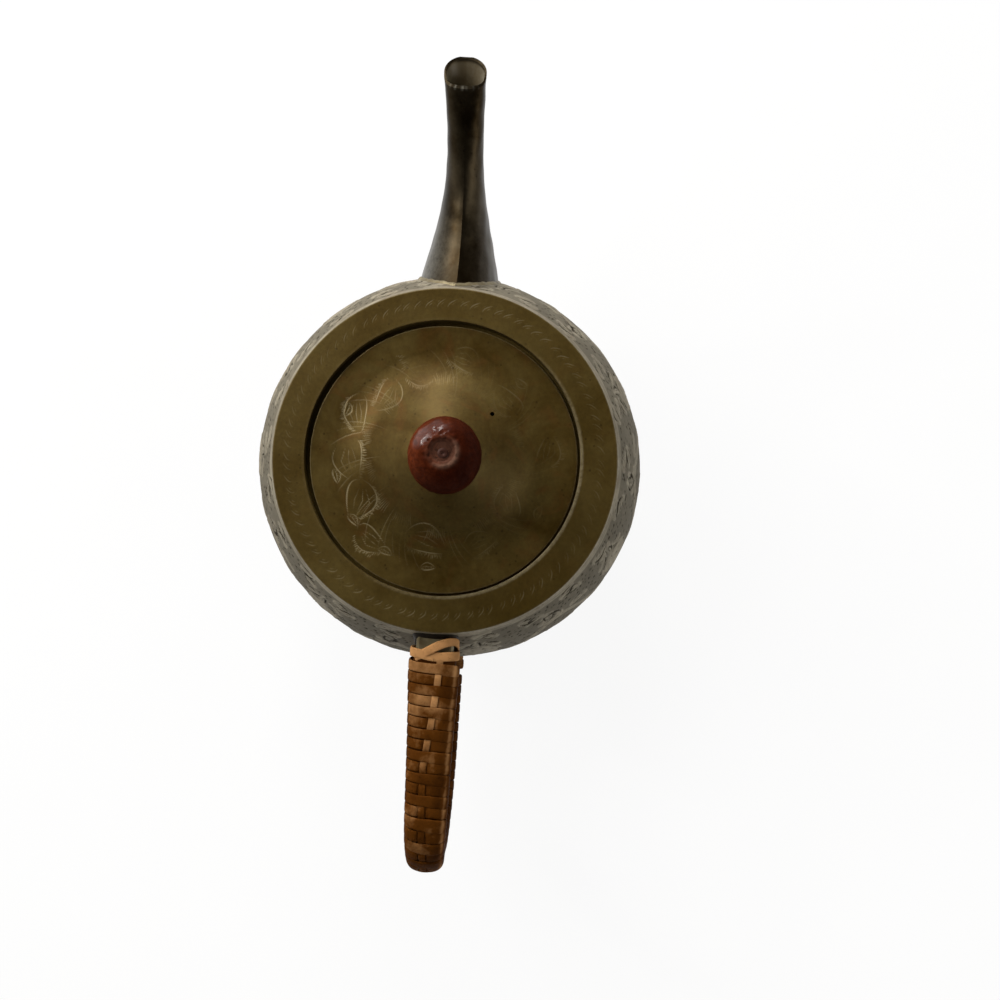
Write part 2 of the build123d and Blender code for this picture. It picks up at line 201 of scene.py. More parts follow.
def smooth_shaded(mesh: bpy.types.Mesh, crease: float) -> None:
    """Shades a mesh smooth and keeps its edges above an angle sharp."""
    mesh.polygons.foreach_set("use_smooth", [True] * len(mesh.polygons))
    mesh.set_sharp_from_angle(angle=math.radians(crease))
    mesh.update()


@dataclass(frozen=True)
class Ring:
    """One ring of points of a turned skin. A radius of 0 is a single point on the axis."""

    radius: float
    height: float
    count: int
    worked: bool = False


def stitch(first: int, first_count: int, second: int, second_count: int) -> list[tuple[int, ...]]:
    """Faces between two rings of points.

    Args:
        first: index of the first ring's first point.
        first_count: number of points in the first ring.
        second: index of the second ring's first point.
        second_count: number of points in the second ring.

    Returns:
        The faces, facing out where the second ring is above the first on an outer wall.
    """
    if first_count == second_count:
        here = np.arange(first_count)
        after = (here + 1) % first_count
        return np.stack([first + here, first + after, second + after, second + here], 1).tolist()
    faces = []
    low = high = 0
    while low < first_count or high < second_count:
        step_low = high == second_count or (
            low < first_count and (low + 1) / first_count <= (high + 1) / second_count
        )
        here, above = first + low % first_count, second + high % second_count
        if step_low:
            if first_count > 1:
                faces.append((here, first + (low + 1) % first_count, above))
            low += 1
        else:
            if second_count > 1:
                faces.append((here, second + (high + 1) % second_count, above))
            high += 1
    return faces


def turned_skin(rings: Sequence[Ring], closed: bool, centre: Sequence[float], depths: Depths,
                deepest: float) -> Skin:
    """Skin of rings about an upright axis, worked into by a depth at each point.

    Args:
        rings: rings in order, going up on an outer wall and down on an inner one.
        closed: whether the last ring joins the first.
        centre: where the axis stands.
        depths: carved depth and unevenness in mm at angles, a radius and a height, for worked rings.
        deepest: depth that counts as a full cut.

    Returns:
        The skin, with its cut mark.
    """
    profile = np.array([(ring.radius, ring.height) for ring in rings])
    slopes = np.roll(profile, -1, 0) - np.roll(profile, 1, 0) if closed else np.gradient(profile, axis=0)
    outward = unit(np.stack([slopes[:, 1], -slopes[:, 0]], 1))
    points, cuts, starts, total = [], [], [], 0
    for ring, normal in zip(rings, outward):
        count = ring.count if ring.radius > 0.0 else 1
        angles = np.arange(count) * FULL_TURN / count
        carved = sunk = np.zeros(count)
        if ring.worked:
            carved, sunk = depths(angles, ring.radius, ring.height)
        depth = carved + sunk
        points.append(hoop(angles, ring.radius - normal[0] * depth, ring.height - normal[1] * depth))
        cuts.append(np.clip(carved / deepest, 0.0, 1.0))
        starts.append((total, count))
        total += count
    faces: list = []
    for (first, first_count), (second, second_count) in zip(starts, starts[1:] + starts[:1] * closed):
        faces += stitch(first, first_count, second, second_count)
    return Skin(np.concatenate(points) + np.array([*centre, 0.0]), faces, {Mark.CUT: np.concatenate(cuts)})


@dataclass
class Sheet:
    """A sheet of metal laid out flat, with the depth that gravers and punches leave in it, in mm."""

    low: tuple[float, float]
    high: tuple[float, float]
    pitch: float
    joined: bool = False
    depth: Array = field(init=False)

    def __post_init__(self) -> None:
        """Lays out the grid of depths."""
        columns, rows = (round((high - low) / self.pitch) for low, high in zip(self.low, self.high))
        self.depth = np.zeros((rows, columns), np.float32)

    def window(self, low: Array, high: Array) -> tuple[Array, ...] | None:
        """Rows, columns and places of the grid inside a box, or None off the sheet.

        Args:
            low: the box's lowest corner.
            high: the box's highest corner.

        Returns:
            Row numbers, column numbers, and the places along both directions.
        """
        first = np.floor((low - np.array(self.low)) / self.pitch).astype(int)
        last = np.ceil((high - np.array(self.low)) / self.pitch).astype(int)
        columns = np.arange(first[0], last[0] + 1)
        rows = np.arange(max(first[1], 0), min(last[1], self.depth.shape[0] - 1) + 1)
        if not self.joined:
            columns = columns[(columns >= 0) & (columns < self.depth.shape[1])]
        if not len(rows) or not len(columns):
            return None
        across, up = np.meshgrid(self.low[0] + columns * self.pitch, self.low[1] + rows * self.pitch)
        return rows, columns % self.depth.shape[1], across, up

    def deepen(self, rows: Array, columns: Array, depth: Array) -> None:
        """Takes the deeper of the sheet and a new cut."""
        where = np.ix_(rows, columns)
        self.depth[where] = np.maximum(self.depth[where], depth)

    def stroke(self, path: Sequence, width: float, depth: float, taper: float = 0.5) -> None:
        """One cut of the graver, a groove that swells from both ends.

        Args:
            path: points that the cut goes through.
            width: width at its widest.
            depth: depth at its deepest.
            taper: how early the ends narrow, 0 for square ends.
        """
        path = np.asarray(path, float)
        lengths = np.hypot(*np.diff(path, axis=0).T)
        shares = np.concatenate([[0.0], np.cumsum(lengths)]) / max(lengths.sum(), 1e-9)
        run = 6
        for first in range(0, len(path) - 1, run):
            piece, share = path[first : first + run + 1], shares[first : first + run + 1]
            window = self.window(piece.min(0) - width, piece.max(0) + width)
            if window is None:
                continue
            rows, columns, across, up = window
            deepest = np.zeros_like(across)
            for start, end, before, after in zip(piece, piece[1:], share, share[1:]):
                span = end - start
                along = (across - start[0]) * span[0] + (up - start[1]) * span[1]
                along = np.clip(along / max(span @ span, 1e-9), 0.0, 1.0)
                away = np.hypot(across - start[0] - along * span[0], up - start[1] - along * span[1])
                swell = np.sin(math.pi * np.clip(before + along * (after - before), 0.02, 0.98)) ** taper
                groove = np.clip(1.0 - away / (0.5 * width * swell), 0.0, 1.0)
                deepest = np.maximum(deepest, depth * swell * groove)
            self.deepen(rows, columns, deepest)

    def punch(self, place: Sequence[float], radius: float, depth: float) -> None:
        """One round dimple.

        Args:
            place: its middle.
            radius: its radius.
            depth: its depth.
        """
        middle = np.asarray(place, float)
        window = self.window(middle - radius, middle + radius)
        if window is None:
            return
        rows, columns, across, up = window
        away = np.hypot(across - middle[0], up - middle[1]) / radius
        self.deepen(rows, columns, depth * np.clip(1.0 - away * away, 0.0, 1.0))

    def at(self, across: Array, up: Array) -> Array:
        """Depth at places, between the grid's points in proportion.

        Args:
            across: places along the sheet's first direction.
            up: places along its second.

        Returns:
            One depth for each place.
        """
        rows, columns = self.depth.shape
        u = (across - self.low[0]) / self.pitch
        v = np.clip((up - self.low[1]) / self.pitch, 0.0, rows - 1.001)
        u = u % columns if self.joined else np.clip(u, 0.0, columns - 1.001)
        left, below = np.floor(u).astype(int), np.floor(v).astype(int)
        over, above = u - left, v - below
        right = (left + 1) % columns
        left %= columns
        low = self.depth[below, left] * (1 - over) + self.depth[below, right] * over
        high = self.depth[below + 1, left] * (1 - over) + self.depth[below + 1, right] * over
        return low * (1 - above) + high * above


@dataclass
class Graver:
    """A hand that draws leaves, blossoms and ticks on a sheet."""

    sheet: Sheet
    width: float
    depth: float
    seed: int
    kept: list = field(default_factory=list)

    def __post_init__(self) -> None:
        """Seeds the hand's small unevenness."""
        self.random = np.random.default_rng(self.seed)

    def placed(self, shape: Array, place: Sequence[float], heading: float) -> Array:
        """A shape turned to a heading and moved to a place."""
        turn = np.array([[math.cos(heading), math.sin(heading)], [-math.sin(heading), math.cos(heading)]])
        return shape @ turn + np.asarray(place, float)

    @staticmethod
    def arc(reach: Array | float, angles: Array | float) -> Array:
        """Points at a reach and at angles about the start of a shape."""
        return np.stack([reach * np.cos(angles), reach * np.sin(angles)], -1)

    def keep(self, place: Sequence[float], radius: float) -> None:
        """Keeps a round patch clear of punch marks."""
        self.kept.append((place[0], place[1], radius))

    def line(self, shape: Sequence, place: Sequence[float], heading: float, weight: float = 1.0) -> None:
        """Cuts a line of a shape at a place.

        Args:
            shape: points of the line about its own start.
            place: where the start goes.
            heading: angle in radians that it is turned to.
            weight: share of the graver's usual width and depth.
        """
        path = self.placed(np.asarray(shape, float), place, heading)
        weight *= self.random.uniform(0.8, 1.15)
        self.sheet.stroke(path, self.width * weight, self.depth * weight)

    def leaf(self, place: Sequence[float], heading: float, length: float, width: float) -> None:
        """A pointed leaf with a bent midrib and hatching along one half.

        Args:
            place: where the stalk joins it.
            heading: direction that it points in.
            length: its length.
            width: its width.
        """
        share = np.linspace(0.0, 1.0, 11)
        bend = 0.1 * length * np.sin(math.pi * share) * self.random.choice([-1.0, 1.0])
        half = 0.5 * width * np.sin(math.pi * share**0.8) ** 0.9
        for reach, aside, weight in ((1.0, half, 1.0), (1.0, -half, 1.15), (0.93, 0.0, 0.75)):
            self.line(np.stack([share * length * reach, bend + aside], 1), place, heading, weight)
        side = self.random.choice([-1.0, 1.0])
        count = max(4, round(length / 0.75))
        for spot in np.linspace(0.14, 0.82, count):
            reach = 0.43 * width * math.sin(math.pi * spot**0.8)
            spine = float(np.interp(spot, share, bend))
            barb = [(spot * length, spine), ((spot + 0.09) * length, spine + side * reach)]
            self.line(barb, place, heading, 0.55)
        for spot, spine, wide in zip(share[1:-1], bend[1:-1], half[1:-1]):
            self.keep(self.placed(np.array([spot * length, spine]), place, heading), float(wide))

    def blossom(self, place: Sequence[float], heading: float, radius: float, petals: int) -> None:
        """A blossom with scalloped petals, hatched from their rims, and a round heart.

        Args:
            place: its middle.
            heading: direction of its first petal.
            radius: its outer radius.
            petals: how many petals it has.
        """
        heart = 0.26 * radius
        self.line(self.arc(heart, np.linspace(0.0, FULL_TURN, 15)), place, heading, 0.8)
        half = math.pi / petals
        swing = np.linspace(-half, half, 9)
        reach = radius * (0.8 + 0.2 * np.cos(swing / half * math.pi * 0.5) ** 0.6)
        for petal in range(petals):
            facing = heading + petal * FULL_TURN / petals
            self.line(self.arc(reach, swing), place, facing, 1.1)
            self.line([(heart * 1.3, 0.0), (radius * 0.78, 0.0)], place, facing + half, 0.9)
            for hatch in np.linspace(-0.66, 0.66, 5):
                outer = radius * (0.94 - 0.12 * abs(hatch))
                inner = outer - radius * self.random.uniform(0.22, 0.36)
                self.line(self.arc(np.array([outer, inner]), hatch * half), place, facing, 0.6)
        for quarter in range(4):
            spot = self.placed(self.arc(0.4 * heart, quarter * math.pi / 2.0 + 0.4), place, heading)
            self.sheet.punch(spot, 0.16 * heart + 0.1, self.depth * 0.7)
        self.keep(place, radius * 1.02)

    def pod(self, place: Sequence[float], heading: float, length: float, width: float) -> None:
        """A large pod: a pointed loop, fringed along one side, with bowed strokes inside.

        Args:
            place: where its stalk joins it.
            heading: direction that it points in.
            length: its length.
            width: its width.
        """
        share = np.linspace(0.0, 1.0, 17)
        half = 0.5 * width * np.sin(math.pi * share**0.75) ** 0.7
        bend = 0.12 * length * np.sin(math.pi * share) * self.random.choice([-1.0, 1.0])
        for side in (-1.0, 1.0):
            first, last = self.random.integers(0, 4), 17 - self.random.integers(0, 5)
            self.line(np.stack([share * length, bend + side * half], 1)[first:last], place, heading, 1.05)
        side = self.random.choice([-1.0, 1.0])
        for spot in np.linspace(0.1, 0.92, round(length * 2.4)):
            edge = float(np.interp(spot, share, bend + side * half))
            lean, reach = self.random.uniform(0.0, 0.35), self.random.uniform(0.6, 1.5)
            fringe = [(spot * length, edge), (spot * length + lean, edge + side * reach)]
            self.line(fringe, place, heading, 0.78)
        for bow in (-0.22, 0.04, 0.28):
            path = [(spot * length, np.interp(spot, share, bend) + bow * width * lift)
                    for spot, lift in ((0.2, 0.4), (0.5, 1.0), (0.8, 0.5))]
            self.line(path, place, heading, 0.65)

    def comb(self, place: Sequence[float], heading: float, strokes: int, reach: float) -> None:
        """Fine strokes side by side, which spread as they go."""
        for index in range(strokes):
            aside = index - 0.5 * (strokes - 1)
            long = reach * self.random.uniform(0.7, 1.0)
            start = self.random.uniform(0.0, 0.25) * reach
            path = [(start, 0.4 * aside), (0.6 * long, 0.46 * aside), (long, 0.6 * aside)]
            self.line(path, place, heading, 0.62)

    def sink(self, low: float, high: float, depth: float) -> None:
        """Sinks the sheet where nothing is drawn, so that the drawing stands up from it.

        Args:
            low: lowest height of the ground.
            high: highest height of it.
            depth: how deep it lies.
        """
        sheet, edge = self.sheet, 1.2
        clear = np.full_like(sheet.depth, edge)
        for across, up, radius in self.kept:
            middle = np.array([across, up])
            window = sheet.window(middle - radius - edge, middle + radius + edge)
            if window is not None:
                where = np.ix_(window[0], window[1])
                away = np.hypot(window[2] - across, window[3] - up) - radius
                clear[where] = np.minimum(clear[where], away)
        heights = sheet.low[1] + np.arange(len(clear)) * sheet.pitch
        inside = smooth(low - 0.3, low + 0.3, heights) * smooth(high + 0.3, high - 0.3, heights)
        sheet.depth = np.maximum(sheet.depth, depth * smooth(0.0, 0.5, clear) * inside[:, None])

    def ground(self, low: float, high: float, spacing: float, radius: float) -> None:
        """Punch marks over the sheet where nothing is drawn.

        Args:
            low: lowest height of the ground.
            high: highest height of it.
            spacing: distance between marks.
            radius: radius of a mark.
        """
        kept = np.array(self.kept)
        for row in range(int((high - low) / spacing)):
            up = low + (row + 0.5) * spacing
            count = int((self.sheet.high[0] - self.sheet.low[0]) / spacing)
            for column in range(count):
                across = self.sheet.low[0] + (column + 0.5 * (row % 2)) * spacing
                spot = np.array([across, up]) + self.random.uniform(-0.3, 0.3, 2) * spacing
                clear = np.hypot(kept[:, 0] - spot[0], kept[:, 1] - spot[1]) > kept[:, 2] + radius
                if clear.all() and self.random.random() > 0.1:
                    size = radius * self.random.uniform(0.7, 1.3)
                    self.sheet.punch(spot, size, self.depth * self.random.uniform(0.55, 1.0))


@dataclass
class Nodes:
    """A material's nodes, added and wired one at a time."""

    tree: bpy.types.NodeTree

    def add(self, kind: str, feeds: dict | None = None, **settings: object) -> bpy.types.Node:
        """A new node with its properties set and its inputs fed."""
        node = self.tree.nodes.new(kind)
        for name, value in settings.items():
            setattr(node, name, value)
        self.feed(node, feeds or {})
        return node

    def feed(self, node: bpy.types.Node, feeds: dict) -> None:
        """Wires outputs and sets plain values to a node's inputs, by name or number."""
        for name, source in feeds.items():
            if isinstance(source, Socket):
                self.tree.links.new(source, node.inputs[name])
            else:
                node.inputs[name].default_value = source

    def first(self, kind: str, feeds: dict | None = None, **settings: object) -> Socket:
        """The first output of a new node."""
        return self.add(kind, feeds, **settings).outputs[0]

    def found(self, kind: str) -> bpy.types.Node:
        """The tree's own node of a kind."""
        return next(node for node in self.tree.nodes if node.type == kind)

    def place(self, size: tuple[float, float, float]) -> Socket:
        """Object coordinates scaled so that one unit is a size in mm along each axis."""
        scale = [1.0 / (length * MM) for length in size]
        feeds = {"Vector": self.add("ShaderNodeTexCoord").outputs["Object"], "Scale": scale}
        return self.add("ShaderNodeMapping", feeds).outputs["Vector"]

    def noise(self, size: float | tuple[float, float, float], detail: float = 4.0, rough: float = 0.55,
              warp: float = 0.0, where: Socket | None = None) -> Socket:
        """Noise whose features have a size in mm, or a size along each axis."""
        where = where or self.place(size if isinstance(size, tuple) else (size, size, size))
        feeds = {"Vector": where, "Scale": 1.0, "Detail": detail, "Roughness": rough, "Distortion": warp}
        return self.add("ShaderNodeTexNoise", feeds).outputs["Fac"]

    def pits(self, size: float) -> Socket:
        """Distance from the nearest of scattered spots a size in mm apart."""
        feeds = {"Vector": self.place((size, size, size)), "Scale": 1.0}
        return self.add("ShaderNodeTexVoronoi", feeds).outputs["Distance"]

    def mark(self, mark: Mark) -> Socket:
        """A number kept on the mesh's points."""
        return self.add("ShaderNodeAttribute", attribute_name=mark.value).outputs["Fac"]

    def ramp(self, share: object, stops: Sequence[tuple[float, Colour]]) -> Socket:
        """Colours between stops."""
        node = self.add("ShaderNodeValToRGB", {"Fac": share})
        while len(node.color_ramp.elements) < len(stops):
            node.color_ramp.elements.new(0.5)
        for element, (position, colour) in zip(node.color_ramp.elements, stops):
            element.position = position
            element.color = (*colour, 1.0)
        return node.outputs["Color"]

    def level(self, value: object, low: float, high: float, start: float = 0.0,
              end: float = 1.0) -> Socket:
        """A value moved from one range to another, and held inside it."""
        feeds = {"Value": value, "From Min": low, "From Max": high, "To Min": start, "To Max": end}
        return self.add("ShaderNodeMapRange", feeds).outputs["Result"]

    def blend(self, share: object, first: object, second: object, how: str = "MIX") -> Socket:
        """Two colours mixed."""
        first, second = ((*c, 1.0) if isinstance(c, tuple) else c for c in (first, second))
        feeds = {"Factor": share, 6: first, 7: second}
        return self.add("ShaderNodeMix", feeds, data_type="RGBA", blend_type=how).outputs[2]

    def sum(self, first: object, second: object, how: str = "ADD") -> Socket:
        """Two numbers joined by a sum."""
        return self.add("ShaderNodeMath", {0: first, 1: second}, operation=how).outputs[0]

    def times(self, first: object, second: object) -> Socket:
        """Two numbers multiplied."""
        return self.sum(first, second, "MULTIPLY")

    def bump(self, height: object, strength: float, distance: float) -> Socket:
        """A normal from a height, at a distance in mm."""
        feeds = {"Strength": strength, "Distance": distance * MM, "Height": height}
        return self.add("ShaderNodeBump", feeds).outputs["Normal"]


def shaded(colour: Colour, share: float) -> Colour:
    """A darker share of a colour."""
    return tuple(share * part for part in colour)


def grey(*stops: tuple[float, float]) -> list[tuple[float, Colour]]:
    """Stops of a ramp of greys."""
    return [(place, (level,) * 3) for place, level in stops]


def new_finish(name: str) -> tuple[bpy.types.Material, Nodes, bpy.types.Node]:
    """A new material with its nodes and its Principled shader."""
    material = bpy.data.materials.new(name)
    material.use_nodes = True
    nodes = Nodes(material.node_tree)
    return material, nodes, nodes.found("BSDF_PRINCIPLED")


@dataclass(frozen=True)
class Finish:
    """A named finish, whose kind says what its shader's inputs read."""

    name: str

    def inputs(self, nodes: Nodes) -> dict[str, object]:
        """What each of the shader's inputs reads or holds."""
        raise NotImplementedError

    def material(self) -> bpy.types.Material:
        """The finish as a material."""
        material, nodes, shader = new_finish(self.name)
        nodes.feed(shader, self.inputs(nodes))
        return material


@dataclass(frozen=True)
class PatinaFinish(Finish):
    """Old brass under patina: clouded colour, specks, scratches, and a bright colour for metal bare from use
    and for painted highlights.
    """

    shade: Colour
    tone: Colour
    warm: Colour
    # Bright colour of bare metal, also used for painted highlights.
    rubbed_and_lit: Colour
    cut: Colour
    metallic: float = 0.9
    gloss: tuple[float, float] = (0.34, 0.52)
    cloud: float = 14.0
    scratch: float = 0.25
    edge: float = 0.75
    inked: float = 0.85
    shine: float = 0.35
    # A lighter colour for the inside of the spout's mouth: painted light that stands for light bouncing
    # inside it.
    lit_lining: Colour | None = None

    def inputs(self, nodes: Nodes) -> dict[str, object]:
        """What each of the shader's inputs reads or holds.

        Args:
            nodes: the material's nodes.

        Returns:
            A socket or a plain value for each input.
        """
        clouds = nodes.noise(self.cloud, 5.0, 0.6, 0.4)
        colour = nodes.ramp(nodes.level(clouds, 0.34, 0.68), [(0.0, self.shade), (1.0, self.tone)])
        stains = nodes.level(nodes.noise(self.cloud * 0.62, 3.0, 0.5, 1.2), 0.54, 0.74, 0.0, 0.55)
        colour = nodes.blend(stains, colour, self.warm)
        fine = nodes.noise(0.9, 6.0, 0.65)
        colour = nodes.blend(0.35, colour, nodes.ramp(fine, grey((0.25, 0.25), (0.75, 0.75))), "OVERLAY")
        specks = nodes.level(nodes.pits(1.6), 0.1, 0.22, 0.55, 0.0)
        sparse = nodes.level(nodes.noise(5.0, 2.0), 0.5, 0.62)
        colour = nodes.blend(nodes.times(specks, sparse), colour, shaded(self.shade, 0.35))
        cut = nodes.mark(Mark.CUT)
        # Groove walls take the bright colour: fresh cut metal, and in part a painted highlight of light
        # catching the cuts.
        lit = self.edge
        edge = nodes.ramp(cut, grey((0.0, 0.0), (0.25, 0.35 * lit), (0.55, lit), (0.95, 0.3 * lit)))
        colour = nodes.blend(edge, colour, self.rubbed_and_lit)
        colour = nodes.blend(nodes.level(cut, 0.3, 0.85, 0.0, self.inked), colour, self.cut)
        # This mark lightens places bare from use, and also places where a highlight or reflection is painted.
        worn = nodes.times(nodes.mark(Mark.WEAR_AND_SHEEN), nodes.level(fine, 0.3, 0.6, 0.35, 1.0))
        bare = nodes.level(cut, 0.25, 0.8, self.metallic, 0.3 * self.metallic)
        # Inside the spout's mouth: the lighter painted-light colour, on duller metal.
        if self.lit_lining is not None:
            inside = nodes.mark(Mark.TONE)
            colour = nodes.blend(nodes.times(inside, 0.8), colour, self.lit_lining)
            bare = nodes.times(bare, nodes.level(inside, 0.0, 1.0, 1.0, 0.1))
        scratches = nodes.sum(nodes.noise((0.25, 9.0, 9.0), 2.0, 0.5, 0.3),
                              nodes.noise((7.0, 0.22, 7.0), 2.0, 0.5, 0.3), "MAXIMUM")
        dull = nodes.level(nodes.sum(clouds, nodes.times(fine, 0.35)), 0.45, 0.95, *self.gloss)
        surface = nodes.sum(fine, nodes.times(nodes.level(scratches, 0.66, 0.74), -self.scratch))
        return {
            "Base Color": nodes.blend(worn, colour, self.rubbed_and_lit),
            "Metallic": bare,
            "Specular IOR Level": self.shine,
            "Roughness": nodes.sum(dull, nodes.times(worn, -0.08)),
            "Normal": nodes.bump(surface, 0.35, 0.05),
        }


@dataclass(frozen=True)
class CaneFinish(Finish):
    """Split cane: fibres along the strip, edges darkened as painted shade where turns meet, grime, and a tone
    for each turn that also carries painted light and shade.
    """

    dark: Colour
    middle: Colour
    light: Colour

    def inputs(self, nodes: Nodes) -> dict[str, object]:
        """What each of the shader's inputs reads or holds.

        Args:
            nodes: the material's nodes.

        Returns:
            A socket or a plain value for each input.
        """
        along, across = nodes.mark(Mark.ALONG), nodes.mark(Mark.ACROSS)
        place = nodes.add("ShaderNodeCombineXYZ", {0: nodes.times(along, 0.11), 1: nodes.times(across, 9.0)})
        fibre = nodes.noise(1.0, 5.0, 0.6, 0.2, place.outputs[0])
        # The tone mark holds each turn's own tone, plus painted light and shade set along the winding.
        tone = nodes.sum(nodes.times(nodes.mark(Mark.TONE), 0.72), nodes.times(fibre, 0.45))
        tone = nodes.sum(tone, nodes.level(nodes.noise(4.5, 4.0, 0.6), 0.3, 0.7, -0.16, 0.14))
        colour = nodes.ramp(tone, [(0.12, self.dark), (0.55, self.middle), (1.0, self.light)])
        # Painted shade: each strip darkens towards its edges, where it meets the next turn.
        rim = nodes.level(nodes.sum(nodes.sum(across, 0.5, "SUBTRACT"), 0.0, "ABSOLUTE"), 0.4, 0.5, 0.0, 0.4)
        grime = nodes.level(nodes.noise(1.3, 5.0, 0.7), 0.56, 0.75, 0.0, 0.5)
        for share, shade in ((rim, 0.45), (grime, 0.5)):
            colour = nodes.blend(share, colour, shaded(self.dark, shade))
        return {
            "Base Color": colour,
            "Specular IOR Level": 0.01,
            "Roughness": nodes.level(fibre, 0.3, 0.7, 0.5, 0.7),
            "Normal": nodes.bump(fibre, 0.5, 0.12),
        }


@dataclass(frozen=True)
class BeadFinish(Finish):
    """A dark red bead: clouded, dull in its chips, glossy where handled, with painted light on its lit flank
    and crater rim.
    """

    dark: Colour
    middle: Colour
    light: Colour
    # Colour of places bare from use and of the painted highlight on the crater's rim.
    worn: Colour

    def inputs(self, nodes: Nodes) -> dict[str, object]:
        """What each of the shader's inputs reads or holds.

        Args:
            nodes: the material's nodes.

        Returns:
            A socket or a plain value for each input.
        """
        clouds = nodes.level(nodes.noise(5.0, 5.0, 0.62, 0.8), 0.3, 0.7, 0.0, 0.5)
        # Random clouds, plus painted light: the flank towards the window is made a lighter red.
        clouds_and_lit_flank = nodes.sum(clouds, nodes.times(nodes.mark(Mark.ALONG), 0.55))
        colour = nodes.ramp(clouds_and_lit_flank, [(0.0, self.dark), (0.45, self.middle), (1.0, self.light)])
        veins = nodes.level(nodes.noise(2.2, 6.0, 0.7, 2.0), 0.47, 0.53, 0.0, 0.35)
        colour = nodes.blend(veins, colour, self.dark)
        cut = nodes.mark(Mark.CUT)
        colour = nodes.blend(nodes.level(cut, 0.3, 1.0, 0.0, 0.7), colour, shaded(self.dark, 0.4))
        fine = nodes.noise(0.7, 4.0, 0.6)
        handled = nodes.times(nodes.mark(Mark.TONE), nodes.level(fine, 0.3, 0.7, 1.0, 0.6))
        return {
            "Base Color": nodes.blend(nodes.mark(Mark.WEAR_AND_SHEEN), colour, self.worn),
            "Roughness": nodes.level(fine, 0.35, 0.75, 0.42, 0.62),
            "Specular IOR Level": 0.01,
            "Coat Weight": nodes.times(handled, nodes.level(cut, 0.1, 0.6, 1.0, 0.1)),
            "Coat Roughness": 0.2,
            "Normal": nodes.bump(nodes.sum(fine, nodes.noise(2.5, 3.0)), 0.3, 0.1),
        }


FINISHES = {
    "body": PatinaFinish(
        "chased_side", (0.138, 0.115, 0.078), (0.256, 0.223, 0.162), (0.15, 0.112, 0.072), (0.46, 0.43, 0.34),
        (0.016, 0.012, 0.007), metallic=0.35, gloss=(0.44, 0.58), cloud=8.0, edge=0.3, inked=0.95, shine=0.0,
    ),
    "top": PatinaFinish(
        "olive_shoulder", (0.05, 0.031, 0.0056), (0.075, 0.051, 0.0135), (0.064, 0.038, 0.008),
        (0.3, 0.25, 0.15), (0.022, 0.013, 0.003), metallic=0.28, gloss=(0.5, 0.62), edge=0.34, inked=0.3,
        shine=0.06,
    ),
    "lid": PatinaFinish(
        "engraved_lid", (0.047, 0.0265, 0.0032), (0.084, 0.057, 0.0145), (0.08, 0.035, 0.007),
        (0.34, 0.28, 0.16), (0.026, 0.015, 0.004), metallic=0.42, gloss=(0.42, 0.52), cloud=11.0, edge=0.62,
        inked=0.35, shine=0.1,
    ),
    "spout": PatinaFinish(
        "dark_spout", (0.013, 0.0075, 0.0022), (0.048, 0.037, 0.022), (0.018, 0.01, 0.0035),
        (0.32, 0.3, 0.24), (0.006, 0.004, 0.001), metallic=1.0, gloss=(0.34, 0.46), cloud=12.0,
        scratch=0.1, edge=0.0, lit_lining=(0.125, 0.092, 0.044),
    ),
    "socket": PatinaFinish(
        "dull_lug", (0.105, 0.082, 0.04), (0.225, 0.188, 0.108), (0.11, 0.07, 0.03), (0.26, 0.22, 0.14),
        (0.016, 0.013, 0.007), metallic=0.6, gloss=(0.42, 0.6), cloud=5.0,
    ),
    "pin": PatinaFinish(
        "worn_pin", (0.03, 0.011, 0.007), (0.062, 0.026, 0.018), (0.04, 0.013, 0.006), (0.36, 0.27, 0.22),
        (0.012, 0.005, 0.003), metallic=0.15, gloss=(0.3, 0.45), cloud=2.5, shine=0.1,
    ),
    # Solder round the lugs, near black: in part painted shade where the lugs meet the belly.
    "solder_and_shade": PatinaFinish(
        "shade_dark_solder", (0.008, 0.005, 0.002), (0.03, 0.022, 0.012), (0.016, 0.01, 0.005), (0.16, 0.13, 0.08),
        (0.006, 0.004, 0.002), metallic=0.5, gloss=(0.5, 0.7), cloud=4.0,
    ),
    "bead": BeadFinish(
        "red_bead", (0.018, 0.003, 0.001), (0.04, 0.0072, 0.0022), (0.105, 0.021, 0.006), (0.13, 0.068, 0.045)
    ),
    "cane": CaneFinish("split_cane", (0.016, 0.0042, 0.0004), (0.078, 0.025, 0.0032), (0.44, 0.225, 0.088)),
}


@dataclass(frozen=True)
class Finishes:
    """Every finish of the teapot."""

    body: bpy.types.Material
    top: bpy.types.Material
    lid: bpy.types.Material
    spout: bpy.types.Material
    socket: bpy.types.Material
    pin: bpy.types.Material
    solder_and_shade: bpy.types.Material
    bead: bpy.types.Material
    cane: bpy.types.Material

    @classmethod
    def mixed(cls) -> "Finishes":
        """Mixes every finish."""
        return cls(**{place: finish.material() for place, finish in FINISHES.items()})


def settle(piece: Piece, body: Body, slot: Slot, *replaced: str) -> None:
    """Attaches a finished piece to its body and hides the CAD nodes that it stands for.

    Args:
        piece: the piece, at the origin.
        body: the body that it rides on.
        slot: the record's slot of its finish; not used.
        replaced: names of the CAD nodes that it stands for.
    """
    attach(piece, body.value)
    if replaced:
        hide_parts(*replaced)
    piece.data.calc_loop_triangles()
    log.info("%s: %d triangles on %s", piece.name, len(piece.data.loop_triangles), body.value)


def linked(name: str, data: bpy.types.ID) -> Piece:
    """A new object in the scene."""
    piece = bpy.data.objects.new(name, data)
    bpy.context.scene.collection.objects.link(piece)
    return piece


def shown(mesh: bpy.types.Mesh, material: bpy.types.Material) -> Piece:
    """A mesh put into the scene with its finish."""
    mesh.materials.clear()
    mesh.materials.append(material)
    return linked(mesh.name, mesh)


